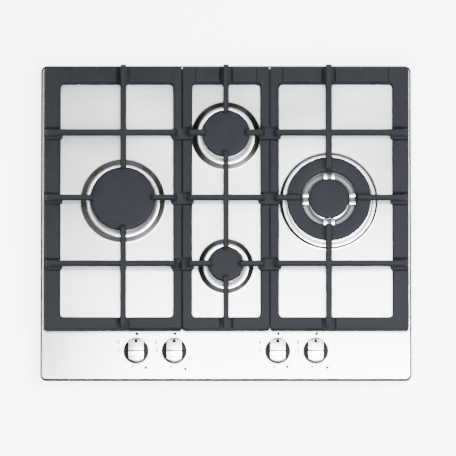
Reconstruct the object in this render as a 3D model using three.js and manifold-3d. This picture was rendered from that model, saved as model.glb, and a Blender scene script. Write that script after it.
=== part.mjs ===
// Built-in gas cooktop, 590 mm wide. A pressed stainless plate carries four burners, three cast iron pan
// supports and four knobs at the front. A steel tray below it holds the taps, the gas rail, the pipes and
// the igniter. Millimetres, +Z up, +Y to the back, +X to the right. The origin is under the middle of the
// plate, on the plane that the tray stands on.

import * as THREE from 'three';
import { mergeVertices } from 'three/addons/utils/BufferGeometryUtils.js';
import Module from 'manifold-3d';

const wasm = await Module();
wasm.setup();

// --------------------------------------------------------------------------------------------------------
// Driving dimensions
// --------------------------------------------------------------------------------------------------------

// Clearances
const SEAT_GAP = 0.3; // between a piece and the seat it rests on or fits into
const SUPPORT_GAP = 0.8; // between neighbouring pan supports
const OVERRUN = 1; // how far a cutting tool runs past the wall that it cuts

// Facets: steps in a rounded corner and sides of a round piece
const CORNER_STEPS = 3;
const SMALL_CORNER_STEPS = 2;
const HOLE_SIDES = 8;
const FITTING_SIDES = 10;
const KNOB_SIDES = 20;
const PIPE_SIDES = 6;
const FOOT_SIDES = 6;
const RAIL_TUBE_SIDES = 8;
const STEPS_PER_BEND = 4;

// Plate
const PLATE_WIDTH = 590;
const PLATE_DEPTH = 510;
const PLATE_CORNER = 10;
const PLATE_SHEET = 1;
const RIM_DROP = 5; // height of the edge that is folded down
const RIM_ROUND = 1.5;
const PRESSING_RISE = 4.5; // the raised seat under each burner
const PRESSING_ROUND = 1.2;

// Tray
const TRAY_SIDE_SETBACK = 19; // its walls inside the plate's edge
const TRAY_FRONT_SETBACK = 20;
const TRAY_BACK_SETBACK = 43;
const TRAY_HEIGHT = 50;
const TRAY_SHEET = 1;
const TRAY_CORNER = 14;
const TRAY_DRAFT = 2; // how far the floor is pulled in from the top of the walls
const TRAY_FLANGE_SETBACK = 3; // flange edge inside the plate's edge
const RIB_LENGTH = 150;
const RIB_WIDTH = 12;
const RIB_RISE = 3;
const RIB_CORNER = 4;
const VENT_LENGTH = 34;
const VENT_WIDTH = 4;
const VENT_PITCH = 14;
const VENTS_PER_GROUP = 4;
const CLAMP_HOLE_RADIUS = 2.5;
const CLAMP_INSET = 22; // clamp hole from the tray's walls

// Seal between the tray's flange and the worktop
const SEAL_WIDTH = 9;
const SEAL_THICKNESS = 2.7;
const SEAL_SETBACK = 4; // seal edge inside the plate's edge
const SEAL_CORNER = 8;

// Burners. Each has a raised seat in the plate, with a foot and a shoulder radius.
const SIDE_BURNER_RUN = 94.2; // left and right burner from the centre support
const SIDE_BURNER_BACK = 219.5; // the same two from the plate's back edge
const REAR_BURNER_BACK = 114;
const FRONT_BURNER_FRONT = 185; // from the plate's front edge
const LEFT_CAP = 50;
const LEFT_SEAT_FOOT = 65.6;
const LEFT_SEAT_SHOULDER = 58;
const LEFT_PORTS = 16;
const LEFT_SIDES = 18;
const REAR_CAP = 37.5;
const REAR_SEAT_FOOT = 54.6;
const REAR_SEAT_SHOULDER = 46;
const REAR_PORTS = 12;
const REAR_SIDES = 16;
const FRONT_CAP = 27.5;
const FRONT_SEAT_FOOT = 43.8;
const FRONT_SEAT_SHOULDER = 36.5;
const FRONT_PORTS = 10;
const FRONT_SIDES = 12;
const CAP_HEIGHT = 9;
const CAP_ROUND = 3;
const CAP_DOME = 0.6;
const CAP_OVERHANG = 9.5; // cap edge past the crown
const CAP_LIP_DEPTH = 1.8; // locating ring that drops inside the crown
const CAP_LIP_WIDTH = 2.5;
const CROWN_HEIGHT = 11.5;
const CROWN_WALL = 5;
const CROWN_FLOOR = 3.5;
const CROWN_TUBE_WALL = 2.5;
const CROWN_TUBE_DROP = 14; // mixing tube below the crown
const CROWN_THROAT = 5;
const PORT_WIDTH = 2.2;
const PORT_DEPTH = 5;
const CUP_FLANGE = 2;
const CUP_FLANGE_SETBACK = 2.5; // cup flange inside the cap's edge
const CUP_WALL = 2.5;
const CUP_SETBACK = 5; // cup wall inside the crown's edge
const CUP_DEPTH = 22;
const CUP_HOLE_CLEARANCE = 1;
const HOLDER_RADIUS = 9; // injector holder under the cup
const HOLDER_BOTTOM = 16; // its height above the origin
const HOLDER_INLET_RADIUS = 5.5;
const HOLDER_INLET_LENGTH = 18;
const JET_RADIUS = 3;
const JET_DEPTH = 5;

// Wok burner with two rings of flame
const WOK_SEAT_FOOT = 76.8;
const WOK_SEAT_SHOULDER = 75.2;
const WOK_SIDES = 24;
const WOK_RING_OUTER = 67;
const WOK_RING_INNER = 43.8;
const WOK_CENTRE_CAP = 31.5;
const WOK_RING_LAND = 7; // overhang of the ring cap past the crown's outer wall
const WOK_INNER_LAND = 3; // overhang of the caps on the air channel's side
const WOK_WALL = 4.5;
const WOK_BRIDGE_WIDTH = 18;
const WOK_BRIDGE_GROOVE = 5;
const WOK_GROOVE_DEPTH = 2;
const WOK_BRIDGE_RISE = 2.4; // bridge top above the crown's walls
const WOK_OUTER_PORTS = 18;
const WOK_CHANNEL_PORTS = 4;
const WOK_CENTRE_PORTS = 8;

// Igniters
const IGNITER_RADIUS = 2.2;
const IGNITER_OFFSET = 3.2; // igniter axis outside the crown
const IGNITER_TURN = 225; // degrees from +X round the burner
const IGNITER_DROP = 20; // ceramic below the pressing
const IGNITER_STAND = 6; // ceramic above the cup flange
const IGNITER_COLLAR = 1.9; // collar past the ceramic
const IGNITER_COLLAR_HEIGHT = 4;
const IGNITER_PIN_RADIUS = 0.9;
const IGNITER_PIN_LENGTH = 3;

// Pan supports. x runs over the three supports from left to right.
const SUPPORT_SETBACK = 6; // supports inside the plate's edge, at the sides and the back
const CONTROL_STRIP = 80.5; // plate left bare in front of the supports
const SUPPORT_SPLIT_X = 69.8; // the line between the centre and a side support
const SUPPORT_CORNER = 4;
const OPENING_CORNER = 6;
const SIDE_RAIL = 22.3;
const JOIN_RAIL = 13.2;
const BACK_RAIL = 23.5;
const FRONT_RAIL = 17.5;
const RAIL_HEIGHT = 21;
const RAIL_ROUND = 1.6;
const RAIL_WALL = 4.2; // walls of the hollow under the rails
const RAIL_ROOF = 7.5;
const CORNER_BLOCK = 24; // solid length at each end of a rail
const NOTCH_TOP = 11; // half length of the dip in a rail at a bar
const NOTCH_FLOOR = 7.5;
const NOTCH_DEPTH = 3.5;
const CREASE_WIDTH = 2.2;
const CREASE_DEPTH = 1;
const CREASE_OFFSET = 6.5; // crease past the side rails' inner face
const BAR_WIDTH = 6.8;
const BAR_DEPTH = 13;
const BAR_CLEARANCE = 1.7; // bars above the burner caps
const BAR_ROOT = 2; // bar end below the dip that it stands in
const BAR_CHAMFER = 1.1;
const BAR_SETBACK = 1.2; // bar end inside the rail's outer face
const BAR_SETBACK_JOIN = 7; // the same where two supports meet
const BAR_END_ROUND = 4;
const BAR_FRONT_SLOPE = 8;
const BAR_FRONT_STEP = 3; // upright part of the front end below its slope
const GUSSET = 7;
const TIP_ROUND = 3;
const CROSS_FILLET = 7.5;
const RIB_FOOT = 5.5; // half width of the rib under each bar end, at the rail
const RIB_NOSE = 3; // and at its nose
const RIB_PROUD = 3.5; // how far it stands out of the rail
const FOOT_RADIUS = 6;
const FOOT_HEIGHT = 4;
const FOOT_TAPER = 1;
const FOOT_STUD_RADIUS = 2.6;
const FOOT_STUD_HEIGHT = 4;
const FOOT_INSET = 11; // foot from the support's outer edges

// How far the finger tips stay from each burner's axis
const FINGER_REACH = { left: 46, rear: 30.5, front: 21.5, right: 43.7 };

// Knobs and taps
const KNOB_PAIR_X = 112.5; // middle of each pair
const KNOB_PITCH = 60.5;
const KNOB_INSET = 48; // knob axis from the plate's front edge
const KNOB_RADIUS = 19.3;
const KNOB_HEIGHT = 20;
const KNOB_SKIRT = 4;
const KNOB_ROUND = 1.5;
const KNOB_CLEARANCE = 3.6; // knob above the plate
const KNOB_GRIP = 28;
const KNOB_GRIP_BOW = 260; // radius of the grip's bowed flanks
const KNOB_CREASE_Y = -3; // where the top starts to fall to the front
const KNOB_SECOND_CREASE_Y = -11.5;
const KNOB_FALL = 1.2; // fall of the top between the creases
const KNOB_FRONT_FALL = 5;
const KNOB_BORE_DEPTH = 14;
const KNOB_FLANK_STEPS = 4;
const SPINDLE_RADIUS = 4;
const SPINDLE_FLAT = 2.6; // from the axis to the flat
const SPINDLE_HOLE_CLEARANCE = 1.5;
const SPINDLE_PUSH = 3; // travel of the knob when pressed
const PLUG_TOP_RADIUS = 8;
const PLUG_BOTTOM_RADIUS = 6.5;
const PLUG_HEIGHT = 20;
const PLUG_FLOOR = 3;
const TAP_WIDTH = 24;
const TAP_DEPTH = 24;
const TAP_BOTTOM = 9; // underside above the origin
const TAP_FLOOR = 4;
const TAP_HEAD = 3; // body above the plug
const TAP_CORNER = 4;
const TAP_SPIGOT_RADIUS = 4.5;
const TAP_OUTLET_RISE = 21; // outlet axis above the tap's underside

// Gas rail, pipes and inlet
const RAIL_TUBE_RADIUS = 7;
const RAIL_TUBE_OFFSET = 26; // rail axis behind the taps' axes
const RAIL_TUBE_RISE = 9; // rail axis above the taps' underside
const RAIL_TUBE_END = 24; // rail past the outermost tap
const RAIL_TUBE_WALL = 26; // rail axis from the tray's right wall
const RAIL_BEND = 24;
const RAIL_SADDLE = 16;
const RAIL_SADDLE_THICKNESS = 2;
const RAIL_HOLE_CLEARANCE = 0.8;
const PIPE_RADIUS = 3;
const PIPE_BEND = 20.8;
const PIPE_LEAD = 52; // straight run into the injector holder
const PIPE_PAST_RAIL = 29; // run past the gas rail before the first bend
const INLET_RADIUS = 10.5; // G 1/2 thread, outside
const INLET_BORE = 7.5;
const INLET_DROP = 16; // outlet face below the rail's axis
const INLET_OUT = 13; // outlet axis behind the tray's back wall
const INLET_BALL_RADIUS = 12;

// Igniter generator and mains terminal box
const BOX_INSET = 61; // middle of both boxes from the tray's left wall
const GENERATOR = { y: -60, width: 42, depth: 70, height: 26, corner: 4, draft: 1 };
const GENERATOR_LUGS = 4;
const LUG_WIDTH = 4;
const LUG_LENGTH = 7;
const LUG_PITCH = 15;
const GENERATOR_EAR = 9;
const GENERATOR_EAR_HEIGHT = 3;
const TERMINAL = { width: 56, depth: 26, height: 24, corner: 3 };
const GLAND_RADIUS = 7;
const GLAND_BORE = 3.8;
const GLAND_LENGTH = 10;

// --------------------------------------------------------------------------------------------------------
// Places and heights that follow from them
// --------------------------------------------------------------------------------------------------------

const plateSide = PLATE_WIDTH / 2;
const plateFront = -PLATE_DEPTH / 2;
const plateBack = PLATE_DEPTH / 2;
const traySide = plateSide - TRAY_SIDE_SETBACK;
const trayFront = plateFront + TRAY_FRONT_SETBACK;
const trayBack = plateBack - TRAY_BACK_SETBACK;
const supportSide = plateSide - SUPPORT_SETBACK;
const supportFront = plateFront + CONTROL_STRIP;
const supportBack = plateBack - SUPPORT_SETBACK;
const sideBurnerX = SUPPORT_SPLIT_X + SIDE_BURNER_RUN;
const sideBurnerY = plateBack - SIDE_BURNER_BACK;
const knobY = plateFront + KNOB_INSET;
const knobXs = [-1, 1].flatMap((side) =>
  [-1, 1].map((half) => side * KNOB_PAIR_X + (half * KNOB_PITCH) / 2));
const boxX = -traySide + BOX_INSET;
const railSideX = traySide - RAIL_TUBE_WALL;
const plateUnder = TRAY_HEIGHT + SEAT_GAP;
const plateTop = plateUnder + PLATE_SHEET;
const seatTop = plateTop + PRESSING_RISE;
const cupTop = seatTop + SEAT_GAP + CUP_FLANGE;
const crownBottom = cupTop + SEAT_GAP;
const crownTop = crownBottom + CROWN_HEIGHT;
const capBottom = crownTop + SEAT_GAP;
const capTop = capBottom + CAP_HEIGHT;
const footBottom = plateTop + SEAT_GAP;
const railBottom = footBottom + FOOT_HEIGHT + SEAT_GAP;
const railTop = railBottom + RAIL_HEIGHT;
const barUnder = capTop + BAR_CLEARANCE;
const barTop = barUnder + BAR_DEPTH;
const knobBottom = plateTop + KNOB_CLEARANCE;
const plugBottom = TAP_BOTTOM + TAP_FLOOR + SEAT_GAP;
const plugTop = plugBottom + PLUG_HEIGHT;
const tapTop = plugTop + TAP_HEAD;
const railAxisY = knobY + RAIL_TUBE_OFFSET;
const railAxisZ = TAP_BOTTOM + RAIL_TUBE_RISE;
const outletZ = TAP_BOTTOM + TAP_OUTLET_RISE;

const LEFT = {
  name: 'left',
  x: -sideBurnerX,
  y: sideBurnerY,
  cap: LEFT_CAP,
  foot: LEFT_SEAT_FOOT,
  shoulder: LEFT_SEAT_SHOULDER,
  ports: LEFT_PORTS,
  segments: LEFT_SIDES,
  inletTurn: 0,
};
const REAR = {
  name: 'rear',
  x: 0,
  y: plateBack - REAR_BURNER_BACK,
  cap: REAR_CAP,
  foot: REAR_SEAT_FOOT,
  shoulder: REAR_SEAT_SHOULDER,
  ports: REAR_PORTS,
  segments: REAR_SIDES,
  inletTurn: -90,
};
const FRONT = {
  name: 'front',
  x: 0,
  y: plateFront + FRONT_BURNER_FRONT,
  cap: FRONT_CAP,
  foot: FRONT_SEAT_FOOT,
  shoulder: FRONT_SEAT_SHOULDER,
  ports: FRONT_PORTS,
  segments: FRONT_SIDES,
  inletTurn: 90,
};
const WOK = {
  name: 'right',
  x: sideBurnerX,
  y: sideBurnerY,
  foot: WOK_SEAT_FOOT,
  shoulder: WOK_SEAT_SHOULDER,
  segments: WOK_SIDES,
  inletTurn: 0,
};
const BURNERS = [LEFT, REAR, FRONT];

// --------------------------------------------------------------------------------------------------------
// Materials
// --------------------------------------------------------------------------------------------------------

const finish = (color, roughness, metalness) =>
  new THREE.MeshStandardMaterial({ color, roughness, metalness });
const BRUSHED_STEEL = finish('#d6d7d8', 0.3, 1);
const ZINC_STEEL = finish('#aab0b4', 0.45, 1);
const ENAMEL_IRON = finish('#40444a', 0.55, 0);
const ALUMINIUM = finish('#c4c6c8', 0.4, 1);
const BRASS = finish('#b8954f', 0.35, 1);
const CHROME = finish('#dcdddf', 0.18, 1);
const CERAMIC = finish('#e9e5da', 0.5, 0);
const RUBBER = finish('#26282a', 0.8, 0);
const FOAM = finish('#3a3c3e', 0.95, 0);
const PLASTIC = finish('#d9d9d4', 0.6, 0);

// --------------------------------------------------------------------------------------------------------
// Shape helpers
// --------------------------------------------------------------------------------------------------------

// A closed BufferGeometry as a solid that can be joined and cut.
function solid(geometry) {
  const bare = geometry.index ? geometry.toNonIndexed() : geometry.clone();
  bare.deleteAttribute('normal');
  bare.deleteAttribute('uv');
  const merged = mergeVertices(bare, 1e-4);
  const corners = [];
  for (let i = 0; i < merged.index.count; i += 3) {
    const [a, b, c] = [0, 1, 2].map((k) => merged.index.getX(i + k));
    if (a !== b && b !== c && c !== a) corners.push(a, b, c);
  }
  const vertProperties = new Float32Array(merged.attributes.position.array);
  return new wasm.Manifold(new wasm.Mesh({ numProp: 3, vertProperties, triVerts: new Uint32Array(corners) }));
}

const join = (first, ...others) => others.reduce((sum, other) => sum.add(other), first);
const cut = (first, ...tools) => tools.reduce((left, tool) => left.subtract(tool), first);

// A profile of [radius, height] pairs turned about the Z axis.
function turned(profile, segments) {
  const points = profile.map(([r, z]) => new THREE.Vector2(r, z));
  return solid(new THREE.LatheGeometry(points, segments).rotateX(Math.PI / 2));
}

// The same for a profile that doesn't reach the axis: it closes on its first point.
const turnedRing = (profile, segments) => turned([...profile, profile[0]], segments);

const cylinder = (radius, bottom, top, segments) =>
  turned([[0, bottom], [radius, bottom], [radius, top], [0, top]], segments);

// A cylinder that lies along a horizontal axis: turn 0 points to the front and 90 to the right.
function lyingCylinder(radius, from, to, segments, turn, x, y, z) {
  const rod = new THREE.CylinderGeometry(radius, radius, to - from, segments);
  rod.translate(0, -(from + to) / 2, 0).rotateZ(THREE.MathUtils.degToRad(turn)).translate(x, y, z);
  return solid(rod);
}

function block(width, depth, bottom, top, x, y) {
  const box = new THREE.BoxGeometry(width, depth, top - bottom);
  return solid(box.translate(x, y, (bottom + top) / 2));
}

// The corner points of a rectangle with rounded corners, counter-clockwise.
function roundedLoop({ x0, x1, y0, y1 }, radius, steps) {
  const centres = [[x1 - radius, y1 - radius], [x0 + radius, y1 - radius], [x0 + radius, y0 + radius],
    [x1 - radius, y0 + radius]];
  return centres.flatMap(([cx, cy], corner) =>
    Array.from({ length: steps + 1 }, (_, i) => {
      const angle = ((corner + i / steps) * Math.PI) / 2;
      return new THREE.Vector2(cx + radius * Math.cos(angle), cy + radius * Math.sin(angle));
    }));
}

const rectangle = (x, y, width, depth) =>
  ({ x0: x - width / 2, x1: x + width / 2, y0: y - depth / 2, y1: y + depth / 2 });
const inset = ({ x0, x1, y0, y1 }, by) => ({ x0: x0 + by, x1: x1 - by, y0: y0 + by, y1: y1 - by });

// A solid that passes through rounded rectangles at rising heights. A level is [rectangle, corner, height].
function lofted(levels, steps) {
  const loops = levels.map(([rectangle, corner]) => roundedLoop(rectangle, corner, steps));
  const count = loops[0].length;
  const positions = loops.flatMap((loop, level) => loop.flatMap((p) => [p.x, p.y, levels[level][2]]));
  const faces = [];
  for (let level = 0; level + 1 < loops.length; level += 1) {
    for (let i = 0; i < count; i += 1) {
      const [a, b] = [level * count + i, level * count + ((i + 1) % count)];
      faces.push(a, b, b + count, a, b + count, a + count);
    }
  }
  const top = (loops.length - 1) * count;
  const { triangulateShape } = THREE.ShapeUtils;
  for (const [a, b, c] of triangulateShape(loops[0], [])) faces.push(c, b, a);
  for (const [a, b, c] of triangulateShape(loops.at(-1), [])) faces.push(top + a, top + b, top + c);
  const geometry = new THREE.BufferGeometry();
  geometry.setAttribute('position', new THREE.Float32BufferAttribute(positions, 3));
  geometry.setIndex(faces);
  return solid(geometry);
}

// An outline in the x-y plane raised from bottom to top.
function raised(points, bottom, top) {
  const outline = new THREE.Shape(points.map(([x, y]) => new THREE.Vector2(x, y)));
  const geometry = new THREE.ExtrudeGeometry(outline, { depth: top - bottom, bevelEnabled: false });
  return solid(geometry.translate(0, 0, bottom));
}

// An outline of [distance, height] pairs made into an upright plate with chamfered edges. It runs along the
// axis that along names, and its middle plane is at the given place on the other one.
function upright(points, width, chamfer, along, at) {
  const outline = new THREE.Shape(points.map(([s, z]) => new THREE.Vector2(s, z)));
  const geometry = new THREE.ExtrudeGeometry(outline, {
    depth: width - 2 * chamfer,
    bevelEnabled: chamfer > 0,
    bevelThickness: chamfer,
    bevelSize: chamfer,
    bevelOffset: -chamfer,
    bevelSegments: 1,
  });
  geometry.translate(0, 0, chamfer - width / 2).rotateX(Math.PI / 2);
  if (along === 'y') geometry.rotateZ(Math.PI / 2);
  return solid(along === 'y' ? geometry.translate(at, 0, 0) : geometry.translate(0, at, 0));
}

// A path of straight runs with rounded bends. A run takes one step, so that the steps go to the bends.
class BentPath extends THREE.Curve {
  constructor(corners, bend) {
    super();
    this.stretches = [];
    let start = corners[0];
    for (let i = 1; i + 1 < corners.length; i += 1) {
      const into = corners[i].clone().sub(corners[i - 1]).normalize();
      const out = corners[i + 1].clone().sub(corners[i]).normalize();
      const from = corners[i].clone().addScaledVector(into, -bend);
      const to = corners[i].clone().addScaledVector(out, bend);
      this.stretches.push({ curve: new THREE.LineCurve3(start, from), steps: 1 });
      const curve = new THREE.QuadraticBezierCurve3(from, corners[i], to);
      this.stretches.push({ curve, steps: STEPS_PER_BEND });
      start = to;
    }
    this.stretches.push({ curve: new THREE.LineCurve3(start, corners.at(-1)), steps: 1 });
    this.steps = this.stretches.reduce((sum, { steps }) => sum + steps, 0);
  }

  // The stretch at a share of the steps, and how far along itself that is.
  find(share) {
    let left = Math.round(share * this.steps);
    let i = 0;
    while (left > this.stretches[i].steps) {
      left -= this.stretches[i].steps;
      i += 1;
    }
    return [this.stretches[i].curve, left / this.stretches[i].steps];
  }

  getPointAt(share) {
    const [curve, along] = this.find(share);
    return curve.getPoint(along);
  }

  getTangentAt(share) {
    const [curve, along] = this.find(share);
    return curve.getTangent(along);
  }
}

// A round bar along such a path.
function tube(corners, radius, bend, sides) {
  const path = new BentPath(corners, bend);
  const section = new THREE.Shape(Array.from({ length: sides }, (_, i) => {
    const angle = (i / sides) * 2 * Math.PI;
    return new THREE.Vector2(radius * Math.cos(angle), radius * Math.sin(angle));
  }));
  const settings = { extrudePath: path, steps: path.steps, bevelEnabled: false };
  return solid(new THREE.ExtrudeGeometry(section, settings));
}

// The radius of a polygon that clears a circle all round, for a hole that something turns in.
const around = (radius, sides) => radius / Math.cos(Math.PI / sides);

const point = (x, y, z) => new THREE.Vector3(x, y, z);

const cooktop = new THREE.Group();
cooktop.name = 'gas_cooktop';

function add(name, shape, material) {
  const { vertProperties, triVerts } = shape.getMesh();
  const geometry = new THREE.BufferGeometry();
  geometry.setAttribute('position', new THREE.BufferAttribute(vertProperties, 3));
  geometry.setIndex(new THREE.BufferAttribute(triVerts, 1));
  geometry.computeVertexNormals();
  const mesh = new THREE.Mesh(geometry, material);
  mesh.name = name;
  cooktop.add(mesh);
}

const plateEdge = { x0: -plateSide, x1: plateSide, y0: plateFront, y1: plateBack };
const allBurners = [...BURNERS, WOK];

// The radii of a burner's hidden parts follow from its caps.
for (const burner of BURNERS) {
  burner.crown = burner.cap - CAP_OVERHANG;
  burner.flange = burner.cap - CUP_FLANGE_SETBACK;
}
WOK.crown = WOK_RING_OUTER - WOK_RING_LAND;
WOK.flange = WOK_RING_OUTER + CUP_FLANGE_SETBACK / 2;
for (const burner of allBurners) {
  burner.cup = burner.crown - CUP_SETBACK;
  const angle = THREE.MathUtils.degToRad(IGNITER_TURN);
  burner.igniterX = burner.x + (burner.crown + IGNITER_OFFSET) * Math.cos(angle);
  burner.igniterY = burner.y + (burner.crown + IGNITER_OFFSET) * Math.sin(angle);
}

// --------------------------------------------------------------------------------------------------------
// Plate, tray and seal
// --------------------------------------------------------------------------------------------------------

// A raised seat: a low cone with a soft shoulder.
function pressing({ x, y, foot, shoulder, segments }) {
  const run = Math.min(PRESSING_ROUND, (foot - shoulder) / 3);
  return turned([
    [0, plateTop - PLATE_SHEET / 2],
    [foot, plateTop - PLATE_SHEET / 2],
    [foot, plateTop],
    [shoulder + run, seatTop - PRESSING_ROUND / 3],
    [shoulder - run, seatTop],
    [0, seatTop],
  ], segments).translate([x, y, 0]);
}

// The hollow under a raised seat, one sheet's thickness below it.
function pressingHollow({ x, y, foot, shoulder, segments }) {
  return turned([
    [0, plateUnder - OVERRUN],
    [foot - PLATE_SHEET, plateUnder - OVERRUN],
    [foot - PLATE_SHEET, plateUnder],
    [shoulder - PLATE_SHEET, seatTop - PLATE_SHEET],
    [0, seatTop - PLATE_SHEET],
  ], segments).translate([x, y, 0]);
}

function topPlate() {
  const rimMiddle = RIM_ROUND * (1 - Math.SQRT1_2);
  const sheet = lofted([
    [plateEdge, PLATE_CORNER, plateTop - RIM_DROP],
    [plateEdge, PLATE_CORNER, plateTop - RIM_ROUND],
    [inset(plateEdge, rimMiddle), PLATE_CORNER - rimMiddle, plateTop - rimMiddle],
    [inset(plateEdge, RIM_ROUND), PLATE_CORNER - RIM_ROUND, plateTop],
  ], CORNER_STEPS);
  const hollow = lofted([
    [inset(plateEdge, PLATE_SHEET), PLATE_CORNER - PLATE_SHEET, plateTop - RIM_DROP - OVERRUN],
    [inset(plateEdge, PLATE_SHEET), PLATE_CORNER - PLATE_SHEET, plateUnder - RIM_ROUND],
    [inset(plateEdge, PLATE_SHEET + RIM_ROUND), PLATE_CORNER - PLATE_SHEET - RIM_ROUND, plateUnder],
  ], CORNER_STEPS);
  const raisedSeats = allBurners.map(pressing);
  const seatHollows = allBurners.map(pressingHollow);
  const hole = (radius, sides, x, y) =>
    cylinder(radius, plateUnder - OVERRUN, seatTop + OVERRUN, sides).translate([x, y, 0]);
  const cupHoles = allBurners.map(({ x, y, cup, segments }) =>
    hole(cup + CUP_HOLE_CLEARANCE, segments, x, y));
  const igniterHoles = allBurners.map(({ igniterX, igniterY }) =>
    hole(IGNITER_RADIUS + 2 * SEAT_GAP, PIPE_SIDES, igniterX, igniterY));
  const knobHoles = knobXs.map((x) => hole(SPINDLE_RADIUS + SPINDLE_HOLE_CLEARANCE, FITTING_SIDES, x, knobY));
  const holes = [...cupHoles, ...igniterHoles, ...knobHoles];
  return cut(join(sheet, ...raisedSeats), hollow, ...seatHollows, ...holes);
}

const trayTopEdge = { x0: -traySide, x1: traySide, y0: trayFront, y1: trayBack };

// The outside of the back wall at a height: the walls lean in towards the floor.
const trayBackAt = (z) => trayBack - TRAY_DRAFT * (1 - (z - TRAY_SHEET) / (TRAY_HEIGHT - TRAY_SHEET));
const inletFaceY = trayBackAt(railAxisZ + INLET_RADIUS) + SEAT_GAP;

// A hole through the back wall for a round piece that lies along Y.
const backWallHole = (radius, x, z) => lyingCylinder(radius, -2 * OVERRUN - TRAY_DRAFT - TRAY_SHEET,
  2 * OVERRUN + TRAY_DRAFT, FITTING_SIDES, 180, x, trayBack, z);

function tray() {
  const floorEdge = inset(trayTopEdge, TRAY_DRAFT);
  const flangeTop = TRAY_HEIGHT;
  const flangeUnder = TRAY_HEIGHT - TRAY_SHEET;
  const box = lofted([
    [inset(floorEdge, TRAY_SHEET), TRAY_CORNER - TRAY_SHEET, 0],
    [floorEdge, TRAY_CORNER, TRAY_SHEET],
    [trayTopEdge, TRAY_CORNER, flangeTop],
  ], CORNER_STEPS);
  const flangeEdge = inset(plateEdge, TRAY_FLANGE_SETBACK);
  const flange = lofted([
    [flangeEdge, PLATE_CORNER, flangeUnder],
    [flangeEdge, PLATE_CORNER, flangeTop],
  ], SMALL_CORNER_STEPS);
  const inside = lofted([
    [inset(floorEdge, TRAY_SHEET), TRAY_CORNER - TRAY_SHEET, TRAY_SHEET],
    [inset(trayTopEdge, TRAY_SHEET), TRAY_CORNER - TRAY_SHEET, flangeTop + OVERRUN],
  ], CORNER_STEPS);

  // Pressed ribs stiffen the floor, and slots between them let air in to the burners.
  const ribs = [];
  const ribHollows = [];
  const vents = [];
  const ventRows = [trayFront / 2, trayBack / 2];
  for (const x of [-RIB_LENGTH / 2 - VENT_LENGTH, RIB_LENGTH / 2 + VENT_LENGTH]) {
    for (const y of ventRows) {
      const ribEdge = rectangle(x, y, RIB_LENGTH, RIB_WIDTH);
      const slim = inset(ribEdge, RIB_RISE / 2);
      const ribTop = TRAY_SHEET + RIB_RISE;
      ribs.push(lofted([[ribEdge, RIB_CORNER, TRAY_SHEET / 2], [slim, RIB_CORNER, ribTop]], 1));
      ribHollows.push(lofted([
        [inset(ribEdge, TRAY_SHEET), RIB_CORNER - TRAY_SHEET, -OVERRUN],
        [inset(slim, TRAY_SHEET), RIB_CORNER - TRAY_SHEET, RIB_RISE],
      ], 1));
    }
  }
  for (const y of ventRows) {
    for (let i = 0; i < VENTS_PER_GROUP; i += 1) {
      const at = y + (i - (VENTS_PER_GROUP - 1) / 2) * VENT_PITCH;
      vents.push(block(VENT_LENGTH, VENT_WIDTH, -OVERRUN, TRAY_SHEET + OVERRUN, 0, at));
    }
  }
  const clampHoles = clampPlaces.map(([x, y]) =>
    cylinder(CLAMP_HOLE_RADIUS, -OVERRUN, TRAY_SHEET + OVERRUN, HOLE_SIDES).translate([x, y, 0]));
  const inletHole = backWallHole(RAIL_TUBE_RADIUS + RAIL_HOLE_CLEARANCE, railSideX, railAxisZ);
  const glandHole = backWallHole(GLAND_RADIUS + SEAT_GAP, boxX, terminalAxisZ);
  const shell = cut(join(cut(join(box, flange), inside), ...ribs), ...ribHollows);
  return cut(shell, ...vents, ...clampHoles, inletHole, glandHole);
}

const clampPlaces = [trayTopEdge.x0 + CLAMP_INSET, trayTopEdge.x1 - CLAMP_INSET]
  .flatMap((x) => [trayTopEdge.y0 + CLAMP_INSET, trayTopEdge.y1 - CLAMP_INSET].map((y) => [x, y]));
const terminalAxisZ = TRAY_SHEET + SEAT_GAP + TERMINAL.height / 2;

function seal() {
  const top = TRAY_HEIGHT - TRAY_SHEET - SEAT_GAP;
  const outer = inset(plateEdge, SEAL_SETBACK);
  const inner = inset(outer, SEAL_WIDTH);
  const slab = (edge, bottom, above) =>
    lofted([[edge, SEAL_CORNER, bottom], [edge, SEAL_CORNER, above]], SMALL_CORNER_STEPS);
  const opening = slab(inner, top - SEAL_THICKNESS - OVERRUN, top + OVERRUN);
  return cut(slab(outer, top - SEAL_THICKNESS, top), opening);
}

add('top_plate', topPlate(), BRUSHED_STEEL);
add('base_tray', tray(), ZINC_STEEL);
add('worktop_seal', seal(), FOAM);

// --------------------------------------------------------------------------------------------------------
// Burners
// --------------------------------------------------------------------------------------------------------

// The cup stands on the pressing by its flange and carries the injector holder below the plate.
function burnerCup({ x, y, cup, flange, segments, inletTurn, igniterX, igniterY }) {
  const flangeBottom = seatTop + SEAT_GAP;
  const floor = cupTop - CUP_DEPTH;
  const dish = turned([
    [0, floor - CUP_WALL],
    [HOLDER_RADIUS, floor - CUP_WALL],
    [cup, floor],
    [cup, flangeBottom],
    [flange, flangeBottom],
    [flange, cupTop],
    [cup - CUP_WALL, cupTop],
    [cup - CUP_WALL, floor + CUP_WALL],
    [0, floor],
  ], segments).translate([x, y, 0]);
  const holderTop = floor - CUP_WALL / 2;
  const holder = cylinder(HOLDER_RADIUS, HOLDER_BOTTOM, holderTop, FITTING_SIDES).translate([x, y, 0]);
  const jet = cylinder(JET_RADIUS, floor - JET_DEPTH, floor + CUP_WALL, HOLE_SIDES).translate([x, y, 0]);
  const inletZ = HOLDER_BOTTOM + HOLDER_INLET_RADIUS;
  const inletRun = [0, HOLDER_INLET_LENGTH];
  const inlet = lyingCylinder(HOLDER_INLET_RADIUS, ...inletRun, HOLE_SIDES, inletTurn, x, y, inletZ);
  const holeRadius = IGNITER_RADIUS + 2 * SEAT_GAP;
  const igniterHole = cylinder(holeRadius, flangeBottom - OVERRUN, cupTop + OVERRUN, PIPE_SIDES);
  return cut(join(dish, holder, inlet), igniterHole.translate([igniterX, igniterY, 0]), jet);
}

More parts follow.
